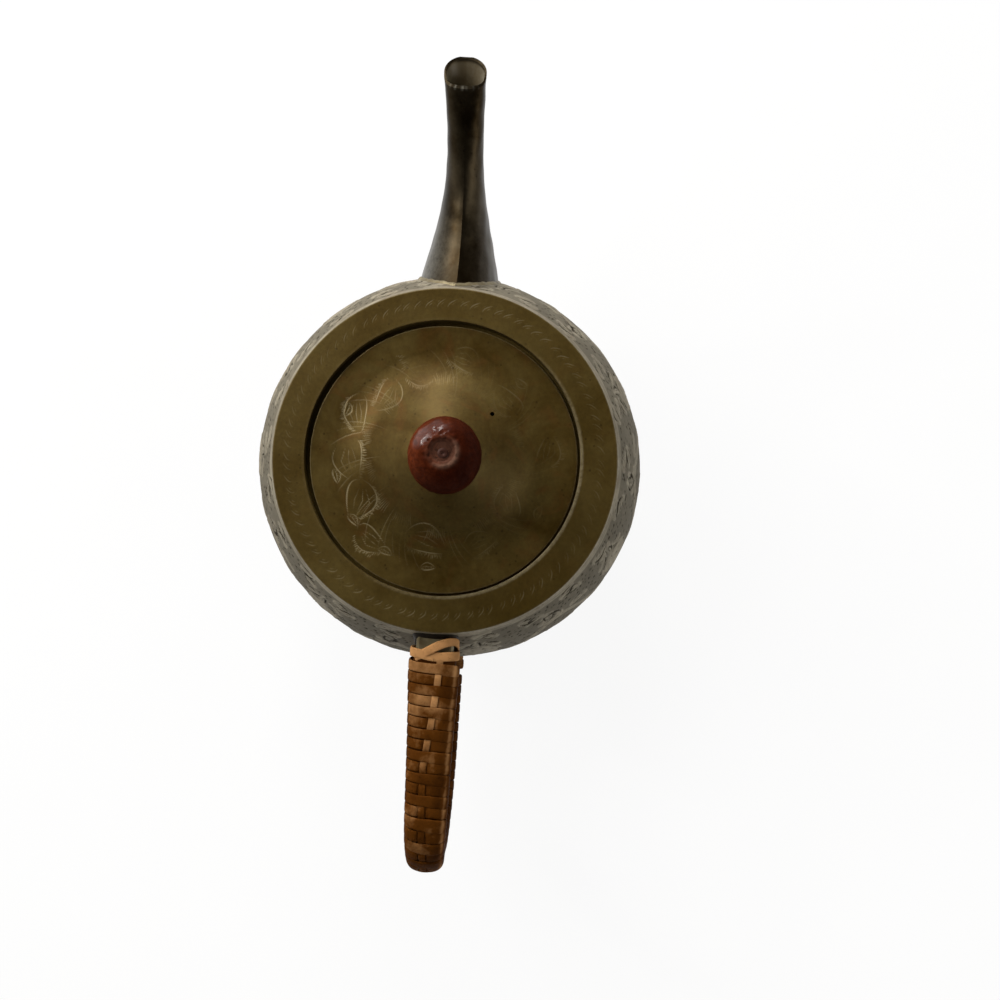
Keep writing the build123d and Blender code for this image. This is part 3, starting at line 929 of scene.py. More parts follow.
def pierced(piece: Piece, drills: Iterable[tuple[Matrix, float, float]]) -> Piece:
    """Drills round holes through a piece.

    Args:
        piece: the piece to drill.
        drills: place, radius and length of each drill, in mm.

    Returns:
        The piece.
    """
    points, faces = [], []
    sides = 20
    turns = [side * FULL_TURN / sides for side in range(sides)]
    for place, radius, length in drills:
        first = len(points)
        for end in (-0.5, 0.5):
            rim = [(radius * math.cos(turn), radius * math.sin(turn), end * length) for turn in turns]
            points += [tuple(place @ Vector(point) * MM) for point in rim]
        ring = range(first, first + sides)
        faces += [tuple(reversed(ring)), tuple(index + sides for index in ring)]
        faces += stitch(first, sides, first + sides, sides)
    mesh = bpy.data.meshes.new("drills")
    mesh.from_pydata(points, [], faces)
    tool = linked("drills", mesh)
    cut = piece.modifiers.new("drilled", "BOOLEAN")
    cut.operation, cut.solver, cut.object = "DIFFERENCE", "EXACT", tool
    replace_by_result(piece)
    bpy.data.objects.remove(tool)
    bpy.data.meshes.remove(mesh)
    return piece


def replace_by_result(piece: Piece) -> None:
    """Turns the result of a piece's modifiers into its plain mesh."""
    graph = bpy.context.evaluated_depsgraph_get()
    result = bpy.data.meshes.new_from_object(piece.evaluated_get(graph))
    result.name = piece.data.name
    piece.modifiers.clear()
    piece.data = result


class Making:
    """The two node trees that make what is turned and what follows a path."""

    strip_sides = 16
    strip_crease = 50.0

    def __init__(self) -> None:
        """Builds both trees."""
        self.turning = self.turning_tree()
        self.winding = self.winding_tree()

    @staticmethod
    def tree(name: str, sizes: dict[str, str]) -> tuple[Nodes, bpy.types.bpy_prop_collection]:
        """A new geometry tree with its inputs.

        Args:
            name: the tree's name.
            sizes: kind of each input after the geometry, by name.

        Returns:
            The tree's nodes, and the sockets that its inputs come from.
        """
        tree = bpy.data.node_groups.new(name, "GeometryNodeTree")
        tree.interface.new_socket("Geometry", in_out="OUTPUT", socket_type="NodeSocketGeometry")
        for label, kind in {"Geometry": "Geometry", **sizes}.items():
            tree.interface.new_socket(label, in_out="INPUT", socket_type="NodeSocket" + kind)
        nodes = Nodes(tree)
        return nodes, nodes.add("NodeGroupInput").outputs

    @staticmethod
    def closed(nodes: Nodes, geometry: Socket, material: Socket) -> bpy.types.NodeTree:
        """A tree ended in Realize Instances and Set Material."""
        real = nodes.first("GeometryNodeRealizeInstances", {"Geometry": geometry})
        dressed = nodes.first("GeometryNodeSetMaterial", {"Geometry": real, "Material": material})
        nodes.add("NodeGroupOutput", {"Geometry": dressed})
        return nodes.tree

    def turning_tree(self) -> bpy.types.NodeTree:
        """The tree that turns a closed outline in the XZ plane once about the Z axis.

        Returns:
            The tree.
        """
        sizes = {"Segments": "Int", "Path Radius": "Float", "Material": "Material"}
        nodes, given = self.tree("turned_part", sizes)
        place = nodes.first("GeometryNodeInputPosition")
        outline = nodes.add("ShaderNodeSeparateXYZ", {0: place}).outputs
        reach = nodes.sum(outline[0], given["Path Radius"], "SUBTRACT")
        laid = nodes.first("ShaderNodeCombineXYZ", {0: reach, 1: nodes.times(outline[2], -1.0)})
        flat = nodes.first("GeometryNodeSetPosition", {"Geometry": given["Geometry"], "Position": laid})
        profile = nodes.first("GeometryNodeMeshToCurve", {0: flat})
        feeds = {"Resolution": given["Segments"], "Radius": given["Path Radius"]}
        circle = nodes.first("GeometryNodeCurvePrimitiveCircle", feeds, mode="RADIUS")
        facing = nodes.first("GeometryNodeSetCurveNormal", {"Curve": circle, "Normal": place}, mode="FREE")
        swept = nodes.first("GeometryNodeCurveToMesh", {"Curve": facing, "Profile Curve": profile})
        merged = nodes.first("GeometryNodeMergeByDistance", {"Geometry": swept, "Distance": 1e-6})
        return self.closed(nodes, merged, given["Material"])

    def winding_tree(self) -> bpy.types.NodeTree:
        """The tree that sweeps a flat crowned strip along a path, turned to the path's own outward side.

        Returns:
            The tree.
        """
        sizes = {"Width": "Float", "Thickness": "Float", "Section Points": "Int", "Material": "Material"}
        nodes, given = self.tree("wound_strip", sizes)
        feeds = {"Resolution": given["Section Points"], "Radius": 1.0}
        circle = nodes.first("GeometryNodeCurvePrimitiveCircle", feeds, mode="RADIUS")
        parts = nodes.add("ShaderNodeSeparateXYZ", {0: nodes.first("GeometryNodeInputPosition")}).outputs
        halves = {}
        for axis, (size, fullness) in enumerate((("Thickness", 0.62), ("Width", 0.45))):
            reach = nodes.sum(nodes.sum(parts[axis], 0.0, "ABSOLUTE"), fullness, "POWER")
            side = nodes.times(nodes.sum(parts[axis], 0.0, "SIGN"), reach)
            halves[axis] = nodes.times(side, nodes.times(given[size], 0.5))
        feeds = {"Geometry": circle, "Position": nodes.first("ShaderNodeCombineXYZ", halves)}
        section = nodes.first("GeometryNodeSetPosition", feeds)
        share = nodes.sum(nodes.times(parts[1], 0.5), 0.5)
        feeds = {"Geometry": section, "Name": Mark.ACROSS.value, "Value": share}
        across = nodes.first("GeometryNodeStoreNamedAttribute", feeds, data_type="FLOAT", domain="POINT")
        path = nodes.first("GeometryNodeMeshToCurve", {0: given["Geometry"]})
        outward, girth = (
            nodes.first("GeometryNodeInputNamedAttribute", {"Name": name}, data_type=kind)
            for name, kind in (("outward", "FLOAT_VECTOR"), ("girth", "FLOAT"))
        )
        facing = nodes.first("GeometryNodeSetCurveNormal", {"Curve": path, "Normal": outward}, mode="FREE")
        feeds = {"Curve": facing, "Profile Curve": across, "Scale": girth, "Fill Caps": True}
        return self.closed(nodes, nodes.first("GeometryNodeCurveToMesh", feeds), given["Material"])

    @staticmethod
    def run(piece: Piece, tree: bpy.types.NodeTree, values: dict[str, object]) -> None:
        """Runs a tree on a piece and keeps its result as a plain mesh.

        Args:
            piece: the object that holds the outline or path.
            tree: the tree to run.
            values: a value for each of the tree's named inputs.
        """
        modifier = piece.modifiers.new(tree.name, "NODES")
        modifier.node_group = tree
        for socket in tree.interface.items_tree:
            if socket.in_out == "INPUT" and socket.name in values:
                modifier[socket.identifier] = values[socket.name]
        piece.update_tag()
        replace_by_result(piece)

    def turned(self, name: str, node: str, outline: Sequence[tuple[float, float]], centre: Sequence[float],
               material: bpy.types.Material, body: Body, slot: Slot, segments: int,
               crease: float = 32.0) -> None:
        """Makes a plain turned part and settles it.

        Args:
            name: the piece's name.
            node: the CAD node that it stands for.
            outline: closed outline as radius and height in mm, anticlockwise with the axis on the left.
            centre: where its axis stands.
            material: its finish.
            body: the body that it rides on.
            slot: the record's slot of its finish.
            segments: how many facets it has round its axis.
            crease: angle in degrees above which an edge is sharp.
        """
        mesh = bpy.data.meshes.new(name)
        count = len(outline)
        edges = [(index, (index + 1) % count) for index in range(count)]
        mesh.from_pydata([(radius * MM, 0.0, height * MM) for radius, height in outline], edges, [])
        piece = linked(name, mesh)
        radii = [radius for radius, _ in outline]
        middle = 0.5 * (min(radii) + max(radii)) * MM
        self.run(piece, self.turning, {"Segments": segments, "Path Radius": middle, "Material": material})
        piece.data.transform(Matrix.Translation((centre[0] * MM, centre[1] * MM, 0.0)))
        smooth_shaded(piece.data, crease)
        settle(piece, body, slot, node)

    def wound(self, name: str, path: "StripPath", width: float, thickness: float,
              material: bpy.types.Material, slot: Slot, *replaced: str) -> None:
        """Makes a strip that follows a path on the pot and settles it.

        Args:
            name: the piece's name.
            path: the path, with its outward directions.
            width: the strip's width.
            thickness: the strip's thickness.
            material: its finish.
            slot: the record's slot of its finish.
            replaced: the CAD nodes that it stands for.
        """
        mesh = bpy.data.meshes.new(name)
        mesh.from_pydata((path.points * MM).tolist(), [(i, i + 1) for i in range(len(path.points) - 1)], [])
        outward = mesh.attributes.new("outward", "FLOAT_VECTOR", "POINT")
        outward.data.foreach_set("vector", path.outward.astype(np.float32).ravel())
        marks = {"girth": path.girth, Mark.TONE.value: path.tone, Mark.ALONG.value: path.along}
        for label, values in marks.items():
            mesh.attributes.new(label, "FLOAT", "POINT").data.foreach_set("value", values.astype(np.float32))
        piece = linked(name, mesh)
        sizes = {"Width": width * MM, "Thickness": thickness * MM, "Section Points": self.strip_sides}
        self.run(piece, self.winding, {**sizes, "Material": material})
        smooth_shaded(piece.data, self.strip_crease)
        settle(piece, Body.POT, slot, *replaced)


@dataclass
class StripPath:
    """Middle line of a strip in mm, with the direction that its bark side faces at each point."""

    points: Array
    outward: Array
    girth: Array | float = 1.0
    tone: Array | float = 0.5

    def __post_init__(self) -> None:
        """Measures the way along the path, and gives each point its girth and its tone."""
        count = len(self.points)
        steps = np.linalg.norm(np.diff(self.points, axis=0), axis=1)
        self.along = np.concatenate([[0.0], np.cumsum(steps)])
        self.girth, self.tone = self.girth + np.zeros(count), self.tone + np.zeros(count)


@dataclass
class PotBody:
    """The chased belly, the foot, the base, the engraved shoulder and the seat for the lid."""

    finishes: Finishes
    making: Making
    belly_height: float = 28.0
    wall: float = 1.2
    rings: int = 122
    segments: int = 700
    chasing_depth: float = 0.3
    clear_band: float = 2.2
    petal_row: float = 11.0
    blossoms: int = 14
    small_leaves: int = 46
    ticks: int = 86
    shoulder_segments: int = 1200
    plain_segments: int = 140
    strainer_height: float = 40.0
    hole_pitch: float = 4.2
    hole_radius: float = 1.1

    def __post_init__(self) -> None:
        """Takes the main sizes from the frame."""
        low, high = corners("belly_shell")
        self.radius, self.bottom, self.top = high[1], low[2], high[2]
        self.plate_low = corners("shoulder_plate")[0][2]
        _, self.shoulder_radius, self.plate_top = corners("shoulder_plate")[1]
        _, self.foot_flare, self.foot_top = corners("foot_ring")[1]
        _, self.base_radius, self.base_top = corners("base_plate")[1]
        self.foot_radius = self.base_radius + 1.4
        self.opening_radius = self.shoulder_radius - 8.1
        self.upper_bulge = self.bulge(self.radius - self.shoulder_radius, self.top - self.belly_height)
        self.lower_bulge = self.bulge(self.radius - self.foot_radius, self.belly_height - self.bottom)
        self.low_turn = math.asin((self.belly_height - self.bottom) / self.lower_bulge)
        self.high_turn = math.asin((self.top - self.belly_height) / self.upper_bulge)
        self.low_length = self.low_turn * self.lower_bulge
        self.length = self.low_length + self.high_turn * self.upper_bulge
        self.round = FULL_TURN * self.radius

    @staticmethod
    def bulge(reach: float, rise: float) -> float:
        """Radius of the arc that starts upright and comes in by reach over a height of rise."""
        return (reach**2 + rise**2) / (2.0 * reach)

    def wall_at(self, height: Array | float, inset: float = 0.0) -> Array | float:
        """Radius of the belly's outside at a height, or of a surface that lies inset inside it."""
        bulge = np.where(np.asarray(height) >= self.belly_height, self.upper_bulge, self.lower_bulge)
        rise = np.asarray(height) - self.belly_height
        return self.radius - bulge + np.sqrt(np.maximum((bulge - inset) ** 2 - rise**2, 0.0))

    def climb(self, height: float) -> float:
        """Length up the wall from the foot to a height."""
        rise = height - self.belly_height
        if rise < 0.0:
            return self.low_length + self.lower_bulge * math.asin(rise / self.lower_bulge)
        return self.low_length + self.upper_bulge * math.asin(min(rise / self.upper_bulge, 1.0))

    def height_at(self, climb: float) -> float:
        """Height at a length up the wall."""
        past = climb - self.low_length
        bulge = self.upper_bulge if past >= 0.0 else self.lower_bulge
        return self.belly_height + bulge * math.sin(past / bulge)

    def chased_sheet(self) -> Sheet:
        """The belly's chasing: petals at the foot and a leafy scroll over a matted ground.

        Returns:
            The sheet, unrolled round the belly's widest line and up its wall.
        """
        sheet = Sheet((0.0, 0.0), (self.round, self.length + 0.5), 0.11, joined=True)
        graver = Graver(sheet, 1.25, self.chasing_depth, 11)
        top_line = self.length - self.clear_band
        for up, weight in ((top_line, 0.7), (self.petal_row + 1.6, 0.8), (1.0, 0.7)):
            steps = np.linspace(0.0, self.round, 181)
            wave = up + 0.06 * np.sin(steps * 0.31 + up)
            sheet.stroke(np.stack([steps, wave], 1), 0.8 * weight, self.chasing_depth * weight, 0.0)
        self.chase_petals(graver)
        self.chase_scroll(graver, self.petal_row + 2.2, top_line - 0.5)
        return sheet

    def chase_petals(self, graver: Graver) -> None:
        """Cuts upright overlapping petals above the foot.

        Args:
            graver: the hand that cuts.
        """
        count = 36
        wide = self.round / count
        turn = np.linspace(0.0, math.pi, 13)
        for index in range(count):
            for scale, weight in ((1.0, 1.0), (0.62, 0.7)):
                half, tall = 0.48 * wide * scale, (self.petal_row - 1.5) * scale
                arch = np.stack([-half * np.cos(turn), 1.6 + tall * np.sin(turn) ** 0.55], 1)
                graver.line(arch, ((index + 0.5) * wide, 0.0), 0.0, weight)
            for lean in (-0.22, 0.0, 0.22):
                vein = [(0.0, 2.0), (lean * 2.0, 4.0), (lean * 4.5, 0.55 * self.petal_row)]
                graver.line(vein, ((index + 0.5) * wide, 0.0), 0.0, 0.5)

    def chase_scroll(self, graver: Graver, low: float, high: float) -> None:
        """A winding stem with leaves and blossoms over a punched ground.

        Args:
            graver: the hand that cuts.
            low: lower edge of the band.
            high: upper edge of the band.
        """
        length = 2.0 * self.round / self.blossoms
        middle, swing = 0.5 * (low + high), 0.24 * (high - low)
        stem = np.linspace(0.0, self.round, self.blossoms * 40 + 1)
        rise = middle + swing * np.sin(stem / length * FULL_TURN)
        for shift in (-0.28, 0.28):
            graver.sheet.stroke(np.stack([stem, rise + shift], 1), 0.5, self.chasing_depth * 0.8, 0.0)
        for place in zip(stem, rise):
            graver.keep(place, 0.7)
        for half_wave in range(self.blossoms):
            side = -1.0 if half_wave % 2 else 1.0
            across = (half_wave + 0.5) * length / 2.0
            hollow = middle - side * 0.3 * (high - low) * 0.55
            petals = 6 if half_wave % 3 else 5
            size = 5.3 if half_wave % 2 else 4.7
            graver.blossom((across, hollow), 0.4 * half_wave, size, petals)
            root = (across - 0.32 * length / 2.0, middle + side * swing * 0.85)
            graver.line([(0.0, 0.0), (1.5, -side * 2.2), (3.2, -side * 3.4)], root, 0.0)
            for step, (lean, long) in enumerate(((0.9, 7.6), (1.7, 6.6), (2.5, 7.0), (-0.2, 5.6))):
                place = (across + (step - 1.5) * 3.4, middle + side * (swing + 0.9))
                graver.leaf(place, side * lean, long, 3.4)
            for step, lean in enumerate((-0.7, -1.6, -2.4)):
                place = (across + (step - 1.0) * 5.6, hollow - side * 5.4)
                graver.leaf(place, side * lean, 5.4, 2.3)
            graver.comb((across + 0.25 * length, middle), side * 1.2, 6, 4.6)
        for index in range(self.small_leaves):
            place = ((index + 0.5) * self.round / self.small_leaves, high - 3.3 + 1.1 * (-1.0) ** index)
            graver.leaf(place, (0.3, math.pi - 0.3, -0.3, math.pi + 0.3)[index % 4], 5.6, 2.7)
        graver.ground(low, high, 1.45, 0.72)
        graver.sink(low, high, 0.6 * self.chasing_depth)

    def belly(self) -> None:
        """Makes the raised wall, chased outside and pierced behind the spout."""
        sheet = self.chased_sheet()
        hammer = Ripple(7.0, 0.035, 3)

        def depths(angles: Array, radius: float, height: float) -> tuple[Array, Array]:
            """Carved depth and unevenness at angles on a ring."""
            climb = self.climb(height)
            faded = smooth(-0.2, 0.8, np.array(min(climb, self.length - climb)))
            carved = sheet.at(angles * self.radius, np.full(len(angles), climb))
            return carved * faded, (0.07 + hammer.at(hoop(angles, radius, height))) * faded

        plain = self.plain_segments
        rings = [Ring(self.foot_radius - self.wall, self.bottom, plain)]
        for climb in np.linspace(0.0, self.length, self.rings):
            height = self.height_at(float(climb))
            rings.append(Ring(float(self.wall_at(height)), height, self.segments, True))
        inner = self.height_at(self.length)
        for share in np.linspace(0.0, 1.0, 26)[:-1]:
            height = inner + (self.bottom - inner) * float(share)
            rings.append(Ring(float(self.wall_at(height, self.wall)), height, plain))
        skin = turned_skin(rings, True, (0.0, 0.0), depths, self.chasing_depth)
        climb = np.array([self.climb(float(z)) for z in np.clip(skin.points[:, 2], self.bottom, self.top)])
        outside = np.hypot(skin.points[:, 0], skin.points[:, 1]) > self.wall_at(skin.points[:, 2], 0.7)
        patches = np.clip(0.5 + Ripple(9.0, 0.5, 14).at(skin.points), 0.0, 1.0)
        raised = smooth(0.25, 0.0, skin.marks[Mark.CUT]) * patches
        skin.marks[Mark.WEAR_AND_SHEEN] = outside * (0.22 * smooth(1.2, 0.2, self.length - climb) + 0.3 * raised)
        piece = shown(skin.mesh("chased_belly", 40.0), self.finishes.body)
        settle(pierced(piece, self.strainer()), Body.POT, Slot.BODY, "belly_shell")

    def strainer(self) -> Iterable[tuple[Matrix, float, float]]:
        """Drills of the strainer behind the spout, in rows of three and two.

        Returns:
            Place, radius and length of each drill.
        """
        for row in range(-2, 3):
            height = self.strainer_height + row * self.hole_pitch * math.sin(math.radians(60))
            for column in range(3 - row % 2):
                across = (column + 0.5 * (row % 2) - 1.0) * self.hole_pitch
                place = Matrix.Translation((self.radius - 3.0, across, height))
                yield place @ Matrix.Rotation(math.pi / 2, 4, "Y"), self.hole_radius, 12.0

    def shoulder(self) -> None:
        """Makes the flat plate round the lid, with a border of curled ticks."""
        reach = self.shoulder_radius + 0.5
        sheet = Sheet((-reach, -reach), (reach, reach), 0.06)
        graver = Graver(sheet, 0.3, 0.065, 21)
        middle = self.shoulder_radius - 3.4
        comma = [(-1.35, -0.25), (-0.7, -0.12), (0.0, 0.0), (0.6, 0.22), (1.05, 0.62), (1.2, 1.05)]
        for index in range(self.ticks):
            angle = (index + graver.random.uniform(-0.12, 0.12)) * FULL_TURN / self.ticks
            place = (middle * math.cos(angle), middle * math.sin(angle))
            lean = angle + math.pi / 2.0 + graver.random.uniform(0.3, 0.45)
            graver.line(comma, place, lean)
            graver.line([(-0.75, 0.45), (-0.2, 0.55), (0.35, 0.85)], place, lean, 0.7)
            if index % 3:
                graver.line([(0.1, -0.5), (0.7, -0.25)], place, lean, 0.6)
        wobble = Ripple(18.0, 0.012, 8)

        def depths(angles: Array, radius: float, height: float) -> tuple[Array, Array]:
            """Carved depth and unevenness at angles on a ring."""
            places = hoop(angles, radius, height)
            kept = 0.4 + 0.6 * np.cos(angles + 0.25) ** 2
            return sheet.at(places[:, 0], places[:, 1]) * kept, 0.03 + wobble.at(places)

        inner, outer, edge = self.opening_radius, self.shoulder_radius, self.plate_low + self.wall
        fine = self.shoulder_segments
        rings = [
            Ring(inner, self.plate_top - self.wall, 200), Ring(outer, self.plate_low, 200),
            Ring(outer, self.plate_low + 1.0, fine), Ring(outer - 0.1, edge - 0.04, fine, True),
        ]
        for radius in np.linspace(outer - 0.3, inner + 0.25, 40).tolist():
            height = edge + (self.plate_top - edge) * (outer - radius) / (outer - inner)
            rings.append(Ring(radius, height, fine, True))
        rings += [Ring(inner + 0.08, self.plate_top - 0.05, fine), Ring(inner, self.plate_top - 0.14, fine)]
        skin = turned_skin(rings, True, (0.0, 0.0), depths, 0.085)
        away = np.hypot(skin.points[:, 0], skin.points[:, 1])
        # Painted highlight: the opening's edge is lighter on the side across from the window, whose inner
        # wall faces the light; the outer edge gets a band bare from use.
        facing = np.clip(-(0.55 * skin.points[:, 0] + 0.83 * skin.points[:, 1]) / away, 0.0, 1.0)
        worn = smooth(0.9, 0.3, away - inner) * (0.03 + 0.62 * facing)
        skin.marks[Mark.WEAR_AND_SHEEN] = smooth(0.35, 0.0, outer - away) * 0.35 + worn
        skin.points[:, :2] += smooth(0.0, 1.0, (outer - away) / (outer - inner))[:, None] * np.array(ASIDE)
        piece = shown(skin.mesh("engraved_shoulder", 40.0), self.finishes.top)
        settle(piece, Body.POT, Slot.TOP, "shoulder_plate")

    def plain_turned(self) -> None:
        """Makes the foot, the base and the seat under the lid, turned with small rounded edges."""
        base, flare, foot, thick = self.base_radius, self.foot_flare, self.foot_radius, self.base_top
        outline = [
            (base, 0.0), (flare - 0.35, 0.0), (flare - 0.08, 0.12), (flare, 0.45), (flare - 0.3, 1.5),
            (foot + 0.25, 3.0), (foot, self.foot_top), (base, self.foot_top),
        ]
        centre, side, turned = (0.0, 0.0), self.finishes.body, self.making.turned
        turned("foot", "foot_ring", outline, centre, side, Body.POT, Slot.BODY, 320)
        outline = [(0.0, 0.0), (1.6, 0.0), (1.9, 0.18), (2.2, 0.0)]
        for radius in (11.0, 12.2, 24.0, 33.0):
            outline += [(radius, 0.0), (radius + 0.25, 0.12), (radius + 0.5, 0.0)]
        outline += [(base - 0.4, 0.0), (base, 0.3), (base, thick), (0.0, thick)]
        turned("base", "base_plate", outline, centre, side, Body.POT, Slot.BODY, 256, 60.0)
        (_, _, low), (_, outer, top) = corners("lid_seat")
        ledge, opening = self.plate_top - 2.3, self.opening_radius
        outer, inner = outer - 0.7, opening - 3.9
        outline = [
            (opening, top), (opening, ledge + 0.15), (opening - 0.15, ledge), (inner + 0.25, ledge),
            (inner, ledge - 0.25), (inner, low + 0.15), (inner + 0.15, low), (inner + 0.85, low),
            (inner + 1.0, low + 0.15), (inner + 1.0, ledge - self.wall), (outer, ledge - self.wall),
            (outer, top - 0.09),
        ]
        turned("lid_seat_ring", "lid_seat", outline, ASIDE, self.finishes.top, Body.POT, Slot.TOP, 320)

    def build(self) -> None:
        """Builds the whole pot body."""
        self.belly()
        self.shoulder()
        self.plain_turned()


@dataclass
class Spout:
    """The hollow spout in two halves, soldered along a seam and to the belly."""

    finishes: Finishes
    making: Making
    body: PotBody
    wall: float = 0.85
    root: tuple[float, float] = (40.0, 41.3)
    root_pull: float = 16.0
    root_angle: float = 7.0
    tip: tuple[float, float] = (91.3, 73.3)
    tip_pull: float = 16.0
    tip_angle: float = 47.0
    mouth: tuple[float, float] = (88.3, 70.0)
    mouth_slope: float = 14.0
    round_section: float = 0.5523
    stations: tuple[tuple[float, float, float, float, float], ...] = (
        (0.0, 23.2, 40.0, 2.6, 0.6),
        (0.15, 18.5, 32.0, 2.2, 0.6),
        (0.3, 14.0, 23.0, 1.5, 0.58),
        (0.45, 10.4, 14.8, 0.8, 0.56),
        (0.62, 8.8, 9.6, 0.2, 0.62),
        (0.8, 9.1, 7.6, 0.0, 0.8),
        (1.0, 10.2, 7.4, 0.0, 1.0),
    )
    sway: float = 0.5
    around: int = 72
    rows: int = 150

    def __post_init__(self) -> None:
        """Draws the middle line and the curves through the stations."""
        root, tip = np.array(self.root), np.array(self.tip)
        low, high = math.radians(self.root_angle), math.radians(self.tip_angle)
        near = root + self.root_pull * np.array([math.cos(low), math.sin(low)])
        far = tip - self.tip_pull * np.array([math.cos(high), math.sin(high)])
        share = np.linspace(0.0, 1.0, 801)[:, None]
        self.line = (
            (1 - share) ** 3 * root + 3 * share * (1 - share) ** 2 * near
            + 3 * share**2 * (1 - share) * far + share**3 * tip
        )
        steps = np.linalg.norm(np.diff(self.line, axis=0), axis=1)
        self.reached = np.concatenate([[0.0], np.cumsum(steps)]) / steps.sum()
        self.slopes = unit(np.gradient(self.line, axis=0))
        table = np.array(self.stations)
        self.reach = corners("spout_left_half")[1][0]
        self.curves = [self.natural(table[:, 0], table[:, column]) for column in range(1, 5)]

    @staticmethod
    def natural(knots: Array, values: Array) -> Callable[[Array], Array]:
        """A smooth curve through values at knots.

        Args:
            knots: where the values are known.
            values: the values.

        Returns:
            The curve, a natural cubic.
        """
        count = len(knots)
        gaps = np.diff(knots)
        rise = np.diff(values) / gaps
        system, right = np.eye(count), np.zeros(count)
        for index in range(1, count - 1):
            before, after = gaps[index - 1 : index + 1]
            system[index, index - 1 : index + 2] = before, 2.0 * (before + after), after
            right[index] = 6.0 * (rise[index] - rise[index - 1])
        bends = np.linalg.solve(system, right)

        def curve(where: Array) -> Array:
            """The curve's values at places."""
            part = np.clip(np.searchsorted(knots, where) - 1, 0, count - 2)
            gap, before, after = gaps[part], where - knots[part], knots[part + 1] - where
            straight = values[part] * after / gap + values[part + 1] * before / gap
            bowed = bends[part] * (after**3 / gap - gap * after)
            bowed = bowed + bends[part + 1] * (before**3 / gap - gap * before)
            return straight + bowed / 6.0

        return curve

    def surface(self, along: Array, turn: Array, inset: float) -> Array:
        """Points on the left half of the spout's skin.

        Args:
            along: share of the middle line at each point.
            turn: 0 on the upper seam to 1 on the lower seam.
            inset: how far the skin lies inside the outer one.

        Returns:
            The points, in mm.
        """
        width, height, ridge, fullness = (curve(along) for curve in self.curves)
        half_width, half_height = 0.5 * width - inset, 0.5 * height - inset
        side = self.round_section * half_height
        upper = turn < 0.5
        share = turn * 2.0 - np.where(upper, 0.0, 1.0)
        zero = np.zeros_like(share)
        across = np.where(
            upper,
            self.bezier(share, zero, fullness * half_width, half_width, half_width),
            self.bezier(share, half_width, half_width, self.round_section * half_width, zero),
        )
        brow = side + 0.34 * half_height * smooth(0.8, 1.0, along)
        up = np.where(
            upper,
            self.bezier(share, half_height, half_height - ridge, brow, zero),
            self.bezier(share, zero, -side, -half_height, -half_height),
        )
        x, z = (np.interp(along, self.reached, self.line[:, axis]) for axis in (0, 1))
        slope_x, slope_z = (np.interp(along, self.reached, self.slopes[:, axis]) for axis in (0, 1))
        return np.stack([x - slope_z * up, across, z + slope_x * up], -1)

    @staticmethod
    def bezier(share: Array, *pulls: Array) -> Array:
        """A cubic through its first and last value, drawn by the two between."""
        a, b, c, d = pulls
        rest = 1.0 - share
        return rest**3 * a + 3 * rest**2 * share * b + 3 * rest * share**2 * c + share**3 * d

    def inside_belly(self, points: Array) -> Array:
        """Whether points lie inside the belly, a little under its skin."""
        heights = np.minimum(points[..., 2], self.body.top)
        return np.hypot(points[..., 0], points[..., 1]) < self.body.wall_at(heights, 0.35)

    def above_mouth(self, points: Array) -> Array:
        """Whether points lie past the mouth's plane."""
        slope = math.radians(self.mouth_slope)
        ahead, above = points[..., 0] - self.mouth[0], points[..., 2] - self.mouth[1]
        return ahead * math.sin(slope) + above * math.cos(slope) > 0

    def crossing(self, turn: Array, inset: float, low: float, high: float,
                 past: Callable[[Array], Array]) -> Array:
        """Share of the middle line where each line of the skin crosses a surface.

        Args:
            turn: the lines, from the upper seam to the lower one.
            inset: how far the skin lies inside the outer one.
            low: share on one side of the surface.
            high: share on the other side.
            past: whether points have crossed it.

        Returns:
            One share for each line.
        """
        start, end = np.full_like(turn, low), np.full_like(turn, high)
        for _ in range(30):
            middle = 0.5 * (start + end)
            crossed = past(self.surface(middle, turn, inset))
            start, end = np.where(crossed, start, middle), np.where(crossed, middle, end)
        return 0.5 * (start + end)

    def foot_line(self, turn: Array, inset: float) -> Array:
        """Share of the middle line where each line of the skin comes out of the belly."""
        return self.crossing(turn, inset, 0.0, 0.55, lambda points: ~self.inside_belly(points))

    def skin(self, turn: Array, inset: float) -> Array:
        """Rows of points of the left half's skin, from the belly to the mouth, where the wall thins.

        Args:
            turn: the lines, from the upper seam to the lower one.
            inset: how far the skin lies inside the outer one.

        Returns:
            The points, in mm.
        """
        first = self.foot_line(turn, inset)
        last = self.crossing(turn, inset, 0.7, 1.0, self.above_mouth)
        share = np.linspace(0.0, 1.0, self.rows)[:, None]
        along = first + (last - first) * share
        thinned = inset * (1.0 - 0.45 * smooth(0.93, 1.0, share))
        return self.surface(along, np.broadcast_to(turn, along.shape), thinned)

